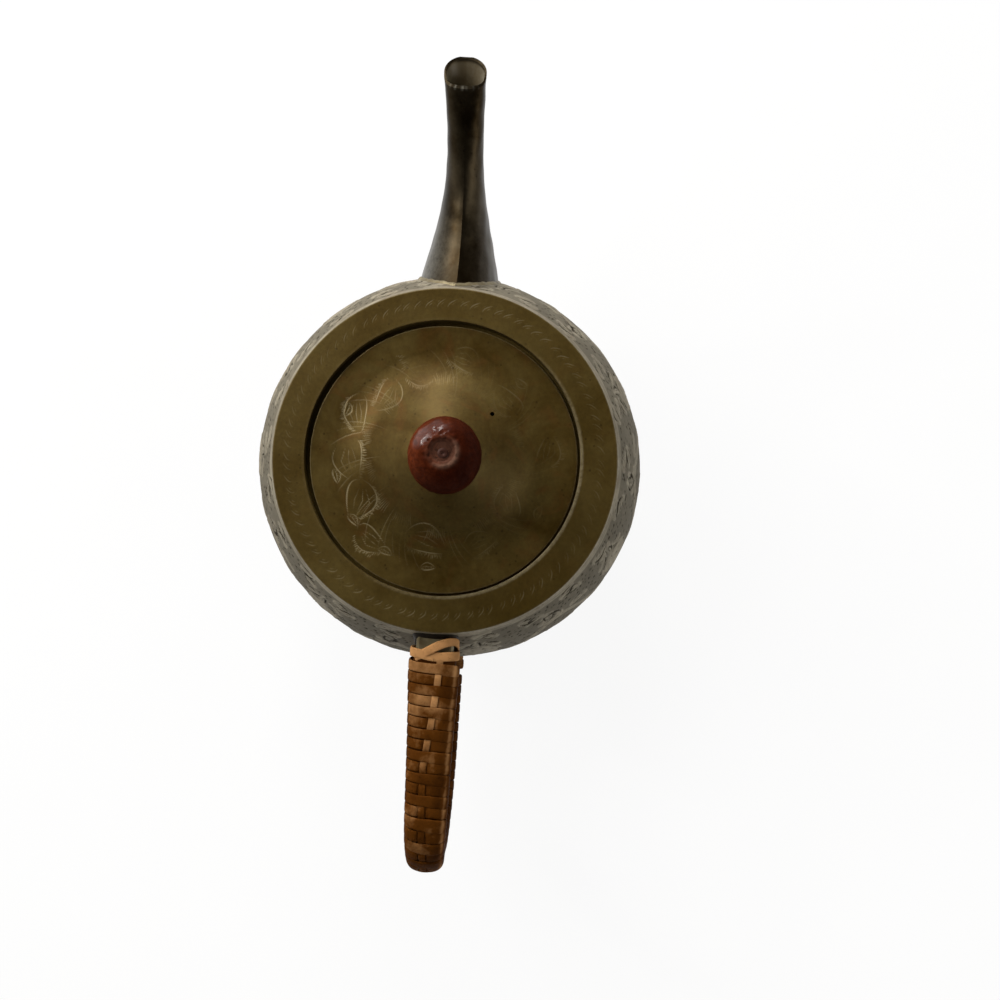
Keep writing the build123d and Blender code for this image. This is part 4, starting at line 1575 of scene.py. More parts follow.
    def half(self, side: float) -> Skin:
        """One half of the spout as a closed skin.

        Args:
            side: 1 for the left half and -1 for the right one.

        Returns:
            The skin.
        """
        turn = np.linspace(0.0, 1.0, self.around)
        outer, inner = self.skin(turn, 0.0), self.skin(turn[::-1], self.wall)
        rows = np.linspace(0.0, 1.0, self.rows)[:, None]
        groove = 0.07 * np.exp(-((np.minimum(turn, 1.0 - turn) * 40.0) ** 2)) * smooth(0.75, 0.35, rows)
        outward = unit(np.cross(np.gradient(outer, axis=0), np.gradient(outer, axis=1)))
        mirrored = np.array([1.0, side, 1.0])
        hammer = Ripple(5.5, 0.05, 5).at(outer.reshape(-1, 3) * mirrored + 3.0 * side)
        hammer = hammer.reshape(outer.shape[:2])
        rim = smooth(0.0, 0.05, 1.0 - rows)
        sink = (0.06 + hammer + groove) * rim + 0.02
        outer = outer - outward * sink[..., None]
        outer[:, 0, 1], outer[:, -1, 1] = 0.0, 0.0
        loop = np.concatenate([outer, inner], axis=1)
        count = loop.shape[1]
        points = loop.reshape(-1, 3) * mirrored
        points[:, 1] -= self.sway * np.sin(math.pi * np.repeat(rows[:, 0], count) ** 0.8)
        points[:, 0] = np.minimum(points[:, 0], self.reach)
        faces: list = []
        for row in range(self.rows - 1):
            faces += stitch(row * count, count, (row + 1) * count, count)
        last = (self.rows - 1) * count
        for index in range(self.around - 1):
            mirror = count - 1 - index
            faces.append((index, index + 1, mirror - 1, mirror))
            faces.append((last + index, last + mirror, last + mirror - 1, last + index + 1))
        if side > 0:
            faces = [tuple(reversed(face)) for face in faces]
        share = np.repeat(rows[:, 0], count)
        place = np.tile(np.concatenate([turn, turn[::-1]]), self.rows)
        outside = np.tile(np.arange(count) < self.around, self.rows)
        left = side > 0
        # Painted reflection: a light streak down the left half's flank, which faces the window, and a faint
        # one on the right half.
        flank_sheen = (0.44 if left else 0.07) * swell(place, 0.36, 0.17) * smooth(0.5, 0.05, share)
        # The lip is bare from use; its bright dots are painted highlights, stronger on the lit left half.
        lip_glints = smooth(0.3, 0.9, np.sin(place * 75.0 + 0.4)) * smooth(0.24, 0.08, place)
        lip = smooth(0.986, 0.998, share) * lip_glints * (0.9 if left else 0.3)
        seam = np.exp(-((np.minimum(place, 1.0 - place) * 60.0) ** 2)) * smooth(0.6, 0.3, share) * 0.2
        # Painted light inside the mouth: a lighter colour, brightest on the right half's inner wall, which
        # faces the light.
        lit_inside = smooth(0.55, 0.95, share) * smooth(1.0, 0.985, share) * ~outside
        inner_wall_light = (0.45 if left else 0.95) * (0.16 + 0.84 * swell(place, 0.42, 0.2)) * lit_inside
        marks = {
            Mark.WEAR_AND_SHEEN: np.clip(np.where(outside, flank_sheen, inner_wall_light) + lip, 0.0, 1.0),
            Mark.CUT: np.where(outside, seam, 0.0) * (1.0 - lip),
            Mark.TONE: lit_inside,
        }
        return Skin(points, faces, marks)

    def solder(self) -> None:
        """Lays the bead of solder where the spout meets the belly."""
        turn = np.linspace(0.0, 1.0, 90)
        left = self.surface(self.foot_line(turn, 0.0), turn, 0.0)
        right = left[::-1] * np.array([1.0, -1.0, 1.0])
        points = np.concatenate([left, right[1:-1], left[:1]])
        outward = unit(unit(points * np.array([1.0, 1.0, 0.0])) + unit(points - points.mean(0)))
        steps = np.arange(len(points))
        girth = 1.0 + 0.18 * np.sin(steps * 0.9) * np.sin(steps * 0.23)
        path = StripPath(points + outward * 0.1, outward, girth)
        self.making.wound("spout_solder", path, 1.3, 0.7, self.finishes.socket, Slot.SPOUT)

    def build(self) -> None:
        """Builds both halves and the solder."""
        for name, side in (("spout_left", 1.0), ("spout_right", -1.0)):
            piece = shown(self.half(side).mesh(name, 42.0), self.finishes.spout)
            settle(piece, Body.POT, Slot.SPOUT, f"{name}_half")
        self.solder()


def threaded(points: Sequence[Sequence[float]], steps: int) -> Array:
    """A smooth line through points.

    Args:
        points: the points, a row each.
        steps: how many points the line has between one and the next.

    Returns:
        The line's points.
    """
    known = np.asarray(points, float)
    known = np.concatenate([[2.0 * known[0] - known[1]], known, [2.0 * known[-1] - known[-2]]])
    share = np.linspace(0.0, 1.0, steps, endpoint=False)[:, None]
    runs = []
    for a, b, c, d in zip(known, known[1:], known[2:], known[3:]):
        bend, swing = 2.0 * a - 5.0 * b + 4.0 * c - d, 3.0 * (b - c) + d - a
        runs.append(0.5 * (2.0 * b + (c - a) * share + bend * share**2 + swing * share**3))
    return np.concatenate(runs + [known[-2:-1]])


@dataclass
class Handle:
    """The looped handle: two lugs, the bar and the woven cane."""

    finishes: Finishes
    making: Making
    body: PotBody
    bend_radius: float = 14.0
    wrap_reach: float = 3.75
    pitch: float = 2.55
    first_gap: float = 0.975
    strip_width: float = 2.46
    strip_thickness: float = 0.62
    rib_width: float = 1.55
    rib_thickness: float = 0.5
    squareness: float = 2.7
    samples: int = 80
    upper_turns: float = 14.0
    lower_turns: float = 11.0
    all_turns: float = 45.5

    def __post_init__(self) -> None:
        """Takes the loop's sizes from the frame."""
        (upper_x, _, upper_low), (_, _, upper_high) = corners("handle_root_upper")
        (lower_x, _, lower_low), (_, _, lower_high) = corners("handle_root_lower")
        self.upper_end, self.upper_z = -upper_x, 0.5 * (upper_low + upper_high)
        self.lower_end, self.lower_z = -lower_x, 0.5 * (lower_low + lower_high)
        self.reach = -corners("cane_wrap_bend")[0][0] - self.wrap_reach
        self.bend_start = self.reach - self.bend_radius
        self.straight = self.bend_start - self.upper_end
        self.quarter = self.bend_radius * math.pi / 2.0
        self.upright = self.upper_z - self.lower_z - 2.0 * self.bend_radius
        self.lower_run = self.bend_start - self.lower_end
        self.length = self.straight + 2.0 * self.quarter + self.upright + self.lower_run

    def frame(self, distance: Array) -> tuple[Array, Array]:
        """Places on the handle's middle line and the outward directions there.

        Args:
            distance: distance in mm from the upper lug.

        Returns:
            The places and the directions, a row each.
        """
        distance = np.asarray(distance, float)
        stops = np.cumsum([self.straight, self.quarter, self.upright, self.quarter])
        first = np.clip(distance - stops[0], 0.0, self.quarter) / self.bend_radius
        second = np.clip(distance - stops[2], 0.0, self.quarter) / self.bend_radius
        turn = first + second
        outward = np.stack([-np.sin(turn), 0.0 * turn, np.cos(turn)], -1)
        x = -self.upper_end - np.minimum(distance, self.straight) - self.bend_radius * np.sin(first)
        x = x + self.bend_radius * (1.0 - np.cos(second)) + np.maximum(distance - stops[3], 0.0)
        z = self.upper_z - self.bend_radius * (1.0 - np.cos(first)) - self.bend_radius * np.sin(second)
        z = z - np.clip(distance - stops[1], 0.0, self.upright)
        return np.stack([x, 0.0 * x, z], -1), outward

    def half_width(self, distance: Array) -> Array:
        """Half the wrapped handle's width, which narrows from the lugs to the back of the loop."""
        back = self.straight + self.quarter + 0.5 * self.upright
        stops = (0.0, 5.0, 11.0, 22.0, 33.0, 42.0, 50.0, back, back + 12.0, back + 30.0, self.length)
        return np.interp(distance, stops, (6.05, 6.1, 5.75, 5.4, 5.15, 4.9, 4.6, 4.4, 4.7, 5.3, 5.7))

    def rib_side(self, distance: Array) -> Array:
        """How far the lengthwise strip lies to the +Y side, which wanders as it goes."""
        stops = (0.0, 6.0, 15.0, 20.0, 25.0, 33.0, 45.0, 60.0, self.length)
        return np.interp(distance, stops, (-1.5, -1.1, -0.2, 0.5, 1.1, 1.0, 0.4, 0.0, 0.0))

    def crossing(self, distance: Array) -> Array:
        """Number of the turn that crosses the lengthwise strip at a distance."""
        share = self.rib_side(distance) / self.half_width(distance)
        lag = np.arcsin(powered(share, 0.5 * self.squareness)) / FULL_TURN
        return (distance - self.first_gap) / self.pitch - 0.5 + lag

    def spacing(self, distance: Array, rise: Array) -> Array:
        """How much the turns spread or crowd at a rise over the middle line, where it bends."""
        ahead, behind = (self.off(distance + step, 0.0 * rise, rise) for step in (0.5, -0.5))
        return np.linalg.norm(ahead - behind, axis=1)

    def off(self, distance: Array, side: Array, rise: Array) -> Array:
        """Places to a side and a rise off the middle line."""
        middle, outward = self.frame(distance)
        return middle + side[:, None] * ACROSS + rise[:, None] * outward

    def turns(self, first: float, last: float, seed: int) -> StripPath:
        """The winding between two turns, over and under the lengthwise strip by turns.

        Args:
            first: turn that it starts at.
            last: turn that it ends at.
            seed: seed of its unevenness.

        Returns:
            The strip's path.
        """
        turn = np.linspace(first, last, round((last - first) * self.samples) + 1)
        angle = FULL_TURN * turn
        random = np.random.default_rng(seed)
        count = math.ceil(self.all_turns) + 3

        def uneven(least: float, most: float) -> Array:
            """A number that differs from turn to turn."""
            return np.interp(turn, np.arange(count), random.uniform(least, most, count))

        drift = uneven(-0.09, 0.09)
        nominal = self.first_gap + turn * self.pitch
        even = np.where(np.floor(turn) % 2 == 0, 1.0, -1.0)
        half_width = self.half_width(nominal) - 0.5 * self.strip_thickness
        half_height = self.wrap_reach - 0.5 * self.strip_thickness - 0.12
        side = half_width * powered(np.sin(angle), 2.0 / self.squareness)
        rise = -half_height * powered(np.cos(angle), 2.0 / self.squareness)
        on_top = smooth(0.0, 2.0, rise)
        beside = side - self.rib_side(nominal)
        paired = smooth(0.6, 2.2, -beside) * on_top
        distance = nominal + drift + 0.13 * even * paired
        near = swell(side, self.rib_side(distance), 0.72 * self.rib_width, 4)
        rise = rise + on_top * near * np.where(even > 0.0, 0.1, -0.5)
        rise = rise - on_top * 0.12 * paired * (even < 0.0)
        lean_side = powered(side / half_width, self.squareness - 1.0) / half_width
        lean_rise = powered(rise / half_height, self.squareness - 1.0) / half_height
        facing = unit(lean_side[:, None] * ACROSS + lean_rise[:, None] * self.frame(distance)[1])
        girth = uneven(0.94, 1.03) * self.spacing(distance, rise)
        girth = girth * (1.0 + on_top * (0.13 * smooth(-0.4, -1.6, beside) - 0.05 * smooth(0.2, 1.4, beside)))
        fade = np.interp(distance, (0.0, 6.0, 22.0, 40.0, self.length), (0.68, 0.58, 0.48, 0.38, 0.56))
        tone = fade + uneven(-0.22, 0.22) * (0.5 + 0.5 * paired)
        # Painted shade: darker towards -Y and off the top face; painted highlight: a light line along the top
        # face's -Y edge.
        tone = tone - 0.2 * smooth(-0.5, -3.0, side) * on_top - 0.3 * (1.0 - on_top)
        tone = tone + 0.42 * swell(side, -0.84 * half_width, 0.42) * on_top
        return StripPath(self.off(distance, side, rise), facing, girth, tone)

    def rib(self) -> StripPath:
        """The lengthwise strip's path from lug to lug."""
        distance = np.linspace(0.3, self.length - 0.3, 800)
        side = self.rib_side(distance)
        wave = powered(np.cos(math.pi * self.crossing(distance)), 0.7)
        rise = self.wrap_reach - 0.5 * self.rib_thickness - 0.34 - 0.3 * wave
        tilt = 0.9 * powered(side / self.half_width(distance), 1.7)
        facing = unit(self.frame(distance)[1] + tilt[:, None] * ACROSS)
        tone = np.interp(distance, (0.0, 8.0, 20.0, 28.0, self.length), (0.98, 0.9, 0.74, 0.42, 0.34))
        return StripPath(self.off(distance, side, rise), facing, tone=tone)

    def tie(self, arm_z: float, end: float, up: float) -> StripPath:
        """The band round a lug beside the winding.

        Args:
            arm_z: height of the arm.
            end: distance of the lug's end from the pot's axis.
            up: 1 where the handle's outer face is on top, and -1 underneath.

        Returns:
            The strip's path.
        """
        wide, tall = 5.5, 3.35
        angle = math.pi / 2.0 + FULL_TURN * np.linspace(0.0, 1.0, 90)
        side, rise = wide * powered(np.cos(angle), 0.55), tall * powered(np.sin(angle), 0.55)
        x = -end + 0.75 - 0.25 * np.cos(math.pi * side / wide) + 0.3 * side / wide
        facing = unit(np.stack([0.0 * side, side / wide**1.2, up * rise / tall**1.2], 1))
        # Painted shade: the tie under the handle gets a darker tone than the one on top.
        return StripPath(np.stack([x, side, arm_z + up * rise], 1), facing, tone=0.8 + 0.26 * up)

    def aslant(self, arm_z: float, end: float, up: float) -> StripPath:
        """The strand that crosses the lug aslant and goes down round its side.

        Args:
            arm_z: height of the arm.
            end: distance of the lug's end from the pot's axis.
            up: 1 where the handle's outer face is on top, and -1 underneath.

        Returns:
            The strip's path.
        """
        line = threaded((
            (0.1, 4.4, 2.4), (0.9, 2.9, 3.0), (1.9, 1.3, 3.72), (3.1, -0.8, 3.95), (3.9, -2.9, 3.55),
            (4.0, -4.6, 2.3), (3.4, -5.3, 0.5), (2.5, -5.1, -1.6), (1.6, -3.8, -3.05), (1.0, -1.5, -3.3),
        ), 12)
        points = np.stack([-end + line[:, 0], line[:, 1], arm_z + up * line[:, 2]], 1)
        facing = unit(np.stack([0.0 * line[:, 0], line[:, 1] / 22.0, up * line[:, 2] / 9.0], 1))
        girth = 1.0 + 0.08 * np.sin(np.linspace(0.0, 6.0, len(line)))
        # Painted shade: the strand under the handle gets a darker tone than the one on top.
        return StripPath(points, facing, girth, 0.86 + 0.24 * up)

    def solder_and_shade(self, arm_z: float) -> StripPath:
        """Path of the dark solder round a lug where it meets the belly; its near-black finish also paints the
        shade there.

        Args:
            arm_z: height of the arm.

        Returns:
            The path.
        """
        angle = np.linspace(0.0, FULL_TURN, 81)
        side, rise = 4.8 * powered(np.cos(angle), 0.4), 2.6 * powered(np.sin(angle), 0.4)
        radius = self.body.wall_at(arm_z + rise)
        outward = unit(np.stack([-0.6 + 0.0 * side, side / 4.8, rise / 2.6], 1))
        return StripPath(np.stack([-np.sqrt(radius**2 - side**2) - 0.2, side, arm_z + rise], 1), outward)

    def build(self) -> None:
        """Builds the winding, the lengthwise strip and the ties."""
        cane, wound = self.finishes.cane, self.making.wound
        stops = (0.0, self.upper_turns, self.all_turns - self.lower_turns, self.all_turns)
        for stretch, first, last in zip(("upper", "bend", "lower"), stops, stops[1:]):
            path, node = self.turns(first, last, 4), f"cane_wrap_{stretch}"
            wound(f"cane_{stretch}", path, self.strip_width, self.strip_thickness, cane, Slot.CANE, node)
        wound("woven_rib", self.rib(), self.rib_width, self.rib_thickness, cane, Slot.CANE, "cane_rib")
        distance = np.linspace(0.4, self.length - 0.4, 240)
        # The padding gets the darkest tone; seen only through the gaps between turns, it is painted shade
        # there.
        splints = StripPath(*self.frame(distance), self.half_width(distance) / 5.7, 0.12)
        wound("cane_padding", splints, 9.6, 6.0, cane, Slot.CANE)
        for level, arm_z, end, up in (
            ("upper", self.upper_z, self.upper_end, 1.0), ("lower", self.lower_z, self.lower_end, -1.0),
        ):
            wound(f"tie_{level}", self.tie(arm_z, end, up), 2.2, 0.7, cane, Slot.CANE, f"cane_tie_{level}")
            wound(f"tie_strand_{level}", self.aslant(arm_z, end, up), 1.9, 0.62, cane, Slot.CANE)
            # Solder at each lug, in the near-black finish that also paints the shade there.
            wound(f"lug_solder_and_shade_{level}", self.solder_and_shade(arm_z), 1.5, 0.7, self.finishes.solder_and_shade, Slot.HANDLE)


@dataclass
class Lid:
    """The engraved lid with its flange, the washer, the pin and the burr."""

    finishes: Finishes
    making: Making
    thickness: float = 1.1
    border_width: float = 6.0
    cone_foot: float = 16.5
    cone_top: float = 9.0
    crown: float = 5.0
    border_slope: float = 4.0
    cone_slope: float = 40.0
    crown_slope: float = 25.0
    vent: tuple[float, float] = (10.7, -10.7)
    vent_radius: float = 0.5
    cut_depth: float = 0.12

    def __post_init__(self) -> None:
        """Takes the lid's place and size from the frame."""
        (x, y), self.radius, self.underside, self.top = upright("lid_dome")
        self.centre = (x + ASIDE[0], y + ASIDE[1])
        self.knob = upright("knob_bead")[0]

    def outline(self) -> list[tuple[float, float]]:
        """The lid's upper side from its rim to its crown, as radius and height."""
        base, border = self.underside + self.thickness, self.radius - self.border_width
        slopes = [math.radians(angle) for angle in (self.border_slope, self.cone_slope, self.crown_slope)]
        sines = [math.sin(slope) for slope in slopes]
        hollow = (border - self.cone_foot) / (sines[1] - sines[0])
        crown = (self.cone_top - self.crown) / (sines[1] - sines[2])
        points = [(radius, base) for radius in np.linspace(self.radius - 0.12, border, 31).tolist()]
        for slope in np.linspace(slopes[0], slopes[1], 50)[1:].tolist():
            rise = hollow * (math.cos(slopes[0]) - math.cos(slope))
            points.append((border - hollow * (math.sin(slope) - sines[0]), base + rise))
        foot, steep = points[-1][1], math.tan(slopes[1])
        for radius in np.linspace(self.cone_foot, self.cone_top, 34)[1:].tolist():
            points.append((radius, foot + (self.cone_foot - radius) * steep))
        top = points[-1][1]
        for slope in np.linspace(slopes[1], slopes[2], 14)[1:].tolist():
            reach = crown * (sines[1] - math.sin(slope))
            points.append((self.cone_top - reach, top + crown * (math.cos(slope) - math.cos(slopes[1]))))
        return points

    def engraved_sheet(self) -> Sheet:
        """The lid's engraving: fringed pods, combs of fine strokes, long sweeps and small leaves."""
        reach = self.radius + 0.5
        sheet = Sheet((-reach, -reach), (reach, reach), 0.05)
        graver = Graver(sheet, 0.34, self.cut_depth, 31)

        def spot(radius: float, degrees: float) -> tuple[float, float]:
            """A place on the sheet at a radius and an angle."""
            return radius * math.cos(math.radians(degrees)), radius * math.sin(math.radians(degrees))

        for degrees, radius, aim, length, width in (
            (34.0, 21.5, 150.0, 8.6, 5.8), (55.0, 25.0, 186.0, 9.4, 5.4), (80.0, 22.2, 190.0, 10.4, 7.0),
            (107.0, 19.4, 168.0, 9.6, 7.4), (131.0, 25.0, 232.0, 8.6, 5.4), (156.0, 19.6, 250.0, 10.4, 6.6),
            (196.0, 22.4, 300.0, 8.4, 5.2), (232.0, 21.4, 10.0, 8.8, 5.8), (268.0, 22.8, 350.0, 8.4, 5.2),
            (304.0, 20.8, 44.0, 8.6, 5.6), (342.0, 22.6, 70.0, 8.2, 5.4), (8.0, 20.4, 96.0, 7.6, 5.0),
        ):
            graver.pod(spot(radius, degrees), math.radians(aim), length, width)
        for degrees, radius, aim, strokes, long in (
            (2.0, 16.4, 4.0, 10, 4.4), (22.0, 24.6, 118.0, 8, 3.2), (48.0, 15.2, 40.0, 9, 4.0),
            (75.0, 16.6, 96.0, 8, 3.4),
            (101.0, 15.4, 120.0, 10, 3.6), (128.0, 15.0, 132.0, 8, 4.2), (146.0, 14.4, 170.0, 9, 4.6),
            (178.0, 15.6, 176.0, 10, 4.0), (214.0, 15.8, 214.0, 9, 3.8), (250.0, 15.2, 246.0, 10, 4.0),
            (288.0, 15.8, 292.0, 9, 3.8), (322.0, 24.4, 232.0, 8, 3.0), (336.0, 15.4, 330.0, 10, 4.2),
        ):
            graver.comb(spot(radius, degrees), math.radians(aim), strokes, long)
        for degrees in (16, 43, 66, 92, 120, 139, 152, 186, 222, 258, 296, 328, 352):
            for shift in (0.0, 2.2, 5.5):
                sweep = [spot(13.5 + 13.0 * share, degrees + shift + (9.0 + shift) * share * share)
                         for share in np.linspace(0.0, 1.0, 9)]
                graver.line(sweep[round(shift) // 2:], (0.0, 0.0), 0.0, 0.55)
        for degrees in (62.0, 98.0, 123.0, 147.0, 171.0, 240.0, 314.0):
            graver.leaf(spot(25.6, degrees), math.radians(degrees + 100.0), 3.6, 1.7)
        return sheet

    def dome(self) -> None:
        """Makes the lid, engraved on top and drilled for steam."""
        sheet = self.engraved_sheet()
        wobble, rubbing = Ripple(14.0, 0.012, 17), Ripple(10.0, 0.45, 19)

        def depths(angles: Array, radius: float, height: float) -> tuple[Array, Array]:
            """Carved depth and unevenness at angles on a ring."""
            places = hoop(angles, radius, height)
            # The engraving is kept deeper towards +Y, so that its lighter groove walls, in part a painted
            # highlight, show most on that side.
            kept = 0.16 + 0.84 * (0.5 + 0.5 * np.cos(angles - 1.85)) ** 1.8
            kept = kept * np.clip(0.72 + rubbing.at(places), 0.15, 1.0)
            return sheet.at(places[:, 0], places[:, 1]) * kept, 0.04 + wobble.at(places)

        upper = self.outline()
        below = [(radius, height - self.thickness) for radius, height in upper[::-6]]
        rings = [Ring(0.0, below[0][1], 1)] + [Ring(radius, height, 110) for radius, height in below]
        rings.append(Ring(self.radius, self.underside + 0.12, 440))
        rings.append(Ring(self.radius, self.underside + self.thickness - 0.14, 880))
        rings += [Ring(radius, height, 880 if radius > 14.0 else 440, True) for radius, height in upper]
        rings += [Ring(3.0, self.top, 110), Ring(0.0, self.top, 1)]
        skin = turned_skin(rings, False, self.centre, depths, self.cut_depth)
        away = np.hypot(skin.points[:, 0] - self.centre[0], skin.points[:, 1] - self.centre[1])
        skin.marks[Mark.WEAR_AND_SHEEN] = 0.3 * smooth(0.35, 0.0, self.radius - away)
        piece = shown(skin.mesh("engraved_lid", 40.0), self.finishes.lid)
        place = Matrix.Translation((self.centre[0] + self.vent[0], self.centre[1] + self.vent[1], self.top))
        settle(pierced(piece, [(place, self.vent_radius, 40.0)]), Body.LID, Slot.TOP, "lid_dome")

    def fittings(self) -> None:
        """Makes the flange under the lid, and the washer, the pin and the burr of the knob."""
        finishes, turned = self.finishes, self.making.turned
        _, outer, low, top = upright("lid_flange")
        flange = [
            (outer - 1.0, low + 0.15), (outer - 0.85, low), (outer - 0.15, low), (outer, low + 0.15),
            (outer, top), (outer - 1.0, top),
        ]
        turned("lid_flange_ring", "lid_flange", flange, self.centre, finishes.top, Body.LID, Slot.TOP, 300)
        _, radius, low, top = upright("knob_washer")
        cup = [
            (0.8, low), (radius - 0.1, low), (radius, low + 0.12), (radius, low + 0.5),
            (radius - 0.12, low + 0.68), (radius - 0.45, top - 0.12), (radius - 0.7, top), (0.8, top),
        ]
        _, head, low, top = upright("knob_pin")
        pin = [
            (0.0, low), (head - 0.35, low + 0.03), (head - 0.05, low + 0.2), (head, low + 0.42),
            (0.8, low + 0.45), (0.8, top - 0.45), (head - 0.1, top - 0.42), (head - 0.12, top - 0.28),
            (head - 0.35, top - 0.14), (0.4, top - 0.12), (0.2, top - 0.26), (0.0, top - 0.3),
        ]
        _, radius, low, top = upright("knob_burr")
        burr = [(0.8, low), (radius - 0.15, low), (radius, low + 0.15), (radius, top), (0.8, top)]
        for name, node, outline, segments, crease in (
            ("knob_cup", "knob_washer", cup, 96, 32.0), ("riveted_pin", "knob_pin", pin, 48, 45.0),
            ("rivet_washer", "knob_burr", burr, 64, 32.0),
        ):
            turned(name, node, outline, self.knob, finishes.pin, Body.LID, Slot.PIN, segments, crease)

    def build(self) -> None:
        """Builds the whole lid."""
        self.dome()
        self.fittings()


@dataclass
class Knob:
    """The drilled red bead, pitted, with a use-hollowed crater round its pin and a painted highlight on its
    rim.
    """

    finishes: Finishes
    foot: float = 4.6
    top_radius: float = 3.1
    waist_height: float = 7.4
    crater_depth: float = 0.9
    crater_floor: float = 2.1
    hole: float = 0.85
    crater_shift: tuple[float, float] = (0.45, 0.25)
    segments: int = 260
    pits: int = 150

    def __post_init__(self) -> None:
        """Takes the bead's place and size from the frame."""
        self.centre, self.radius, self.bottom, self.top = upright("knob_bead")
        self.waist = self.bottom + self.waist_height

    def side(self) -> list[tuple[float, float]]:
        """The bead's side from its foot to the crater's lip."""
        points = []
        for narrow, rise, first, count in (
            (self.foot, self.waist_height, -1.0, 40), (self.top_radius, self.top - self.waist, 0.0, 56),
        ):
            bulge = PotBody.bulge(self.radius - narrow, rise)
            reach = math.asin(min(rise / bulge, 1.0))
            for turn in np.linspace(first * reach, (first + 1.0) * reach, count):
                radius = self.radius - bulge + bulge * math.cos(turn)
                points.append((radius, self.waist + bulge * math.sin(turn)))
        return points[:40] + points[41:]

    def build(self) -> None:
        """Builds the bead with its pits and its uneven crater."""
        floor, lip_width = self.top - self.crater_depth, self.top_radius - self.crater_floor
        crater = [(self.top_radius - lip_width * share**0.8, self.top - self.crater_depth * share)
                  for share in np.linspace(0.08, 1.0, 10).tolist()]
        inner = np.linspace(self.crater_floor, self.hole + 0.1, 7)[1:].tolist()
        profile = self.side() + crater + [(radius, floor) for radius in inner]
        worked = [Ring(radius, height, self.segments, True) for radius, height in profile]
        rings = [Ring(self.hole, self.bottom, 64), *worked, Ring(self.hole, floor - 0.15, 64)]
        random = np.random.default_rng(41)
        aims = unit(random.normal(size=(self.pits, 3)))
        middle = np.array([0.0, 0.0, self.waist])
        sizes, sinks = (random.uniform(*span, self.pits) for span in ((0.035, 0.13), (0.03, 0.16)))
        soft, chips = Ripple(3.2, 0.06, 42), Ripple(1.5, 0.1, 43)

        def depths(angles: Array, radius: float, height: float) -> tuple[Array, Array]:
            """Carved depth and unevenness at angles on a ring."""
            places = hoop(angles, radius, height)
            away = np.arccos(np.clip(unit(places - middle) @ aims.T, -1.0, 1.0)) / sizes
            pitted = (sinks * np.clip(1.0 - away**2, 0.0, 1.0)).max(1)
            lip = swell(height, self.top, 0.8) if radius < self.top_radius + 1.6 else 0.0
            oval = 0.22 * np.cos(2.0 * angles) * swell(height, self.waist, 6.0)
            dug = 0.1 if radius < self.crater_floor + 0.3 and height < self.top - 0.4 else 0.0
            uneven = np.abs(soft.at(places)) + lip * (0.14 + chips.at(places)) - oval - 0.22 - dug
            return pitted * 0.8 + dug, uneven

        skin = turned_skin(rings, True, self.centre, depths, 0.2)
        away = np.hypot(skin.points[:, 0] - self.centre[0], skin.points[:, 1] - self.centre[1])
        below_top = self.top - skin.points[:, 2]
        near_lip = swell(away, self.top_radius, 0.55) * smooth(1.4, 0.2, below_top)
        aside = skin.points - np.array([*self.centre, self.waist])
        skin.marks[Mark.TONE] = np.clip(sum(
            weight * swell(unit(aside) @ unit(np.array(spot)), 1.0, size)
            for spot, size, weight in (((0.37, 0.61, 0.7), 0.04, 1.0), ((0.62, 0.2, 0.75), 0.06, 0.5))
        ), 0.0, 1.0)
        # Painted light: this mark makes the bead's flank that faces the window a lighter red.
        skin.marks[Mark.ALONG] = smooth(-0.3, 1.0, unit(aside) @ unit(np.array([0.25, 0.9, 0.2])))
        # A ring of use round the crater's lip, with a painted highlight on the wall across from the window,
        # which faces the light.
        lower = smooth(-0.3, 0.8, unit(aside[:, :2]) @ np.array([-0.64, -0.77]))
        floor_worn = 0.35 * smooth(self.top_radius, self.top_radius - 0.8, away) * smooth(1.2, 0.9, below_top)
        skin.marks[Mark.WEAR_AND_SHEEN] = np.maximum((0.14 + 0.75 * lower) * near_lip, floor_worn)
        lean = smooth(self.waist, self.top, skin.points[:, 2]) * smooth(1.0, 1.8, away)
        skin.points[:, :2] += lean[:, None] * np.array(self.crater_shift)
        skin.points[:, 2] = np.minimum(skin.points[:, 2], self.top)
        piece = shown(skin.mesh("red_bead", 50.0), self.finishes.bead)
        settle(piece, Body.BEAD, Slot.BEAD, "knob_bead")


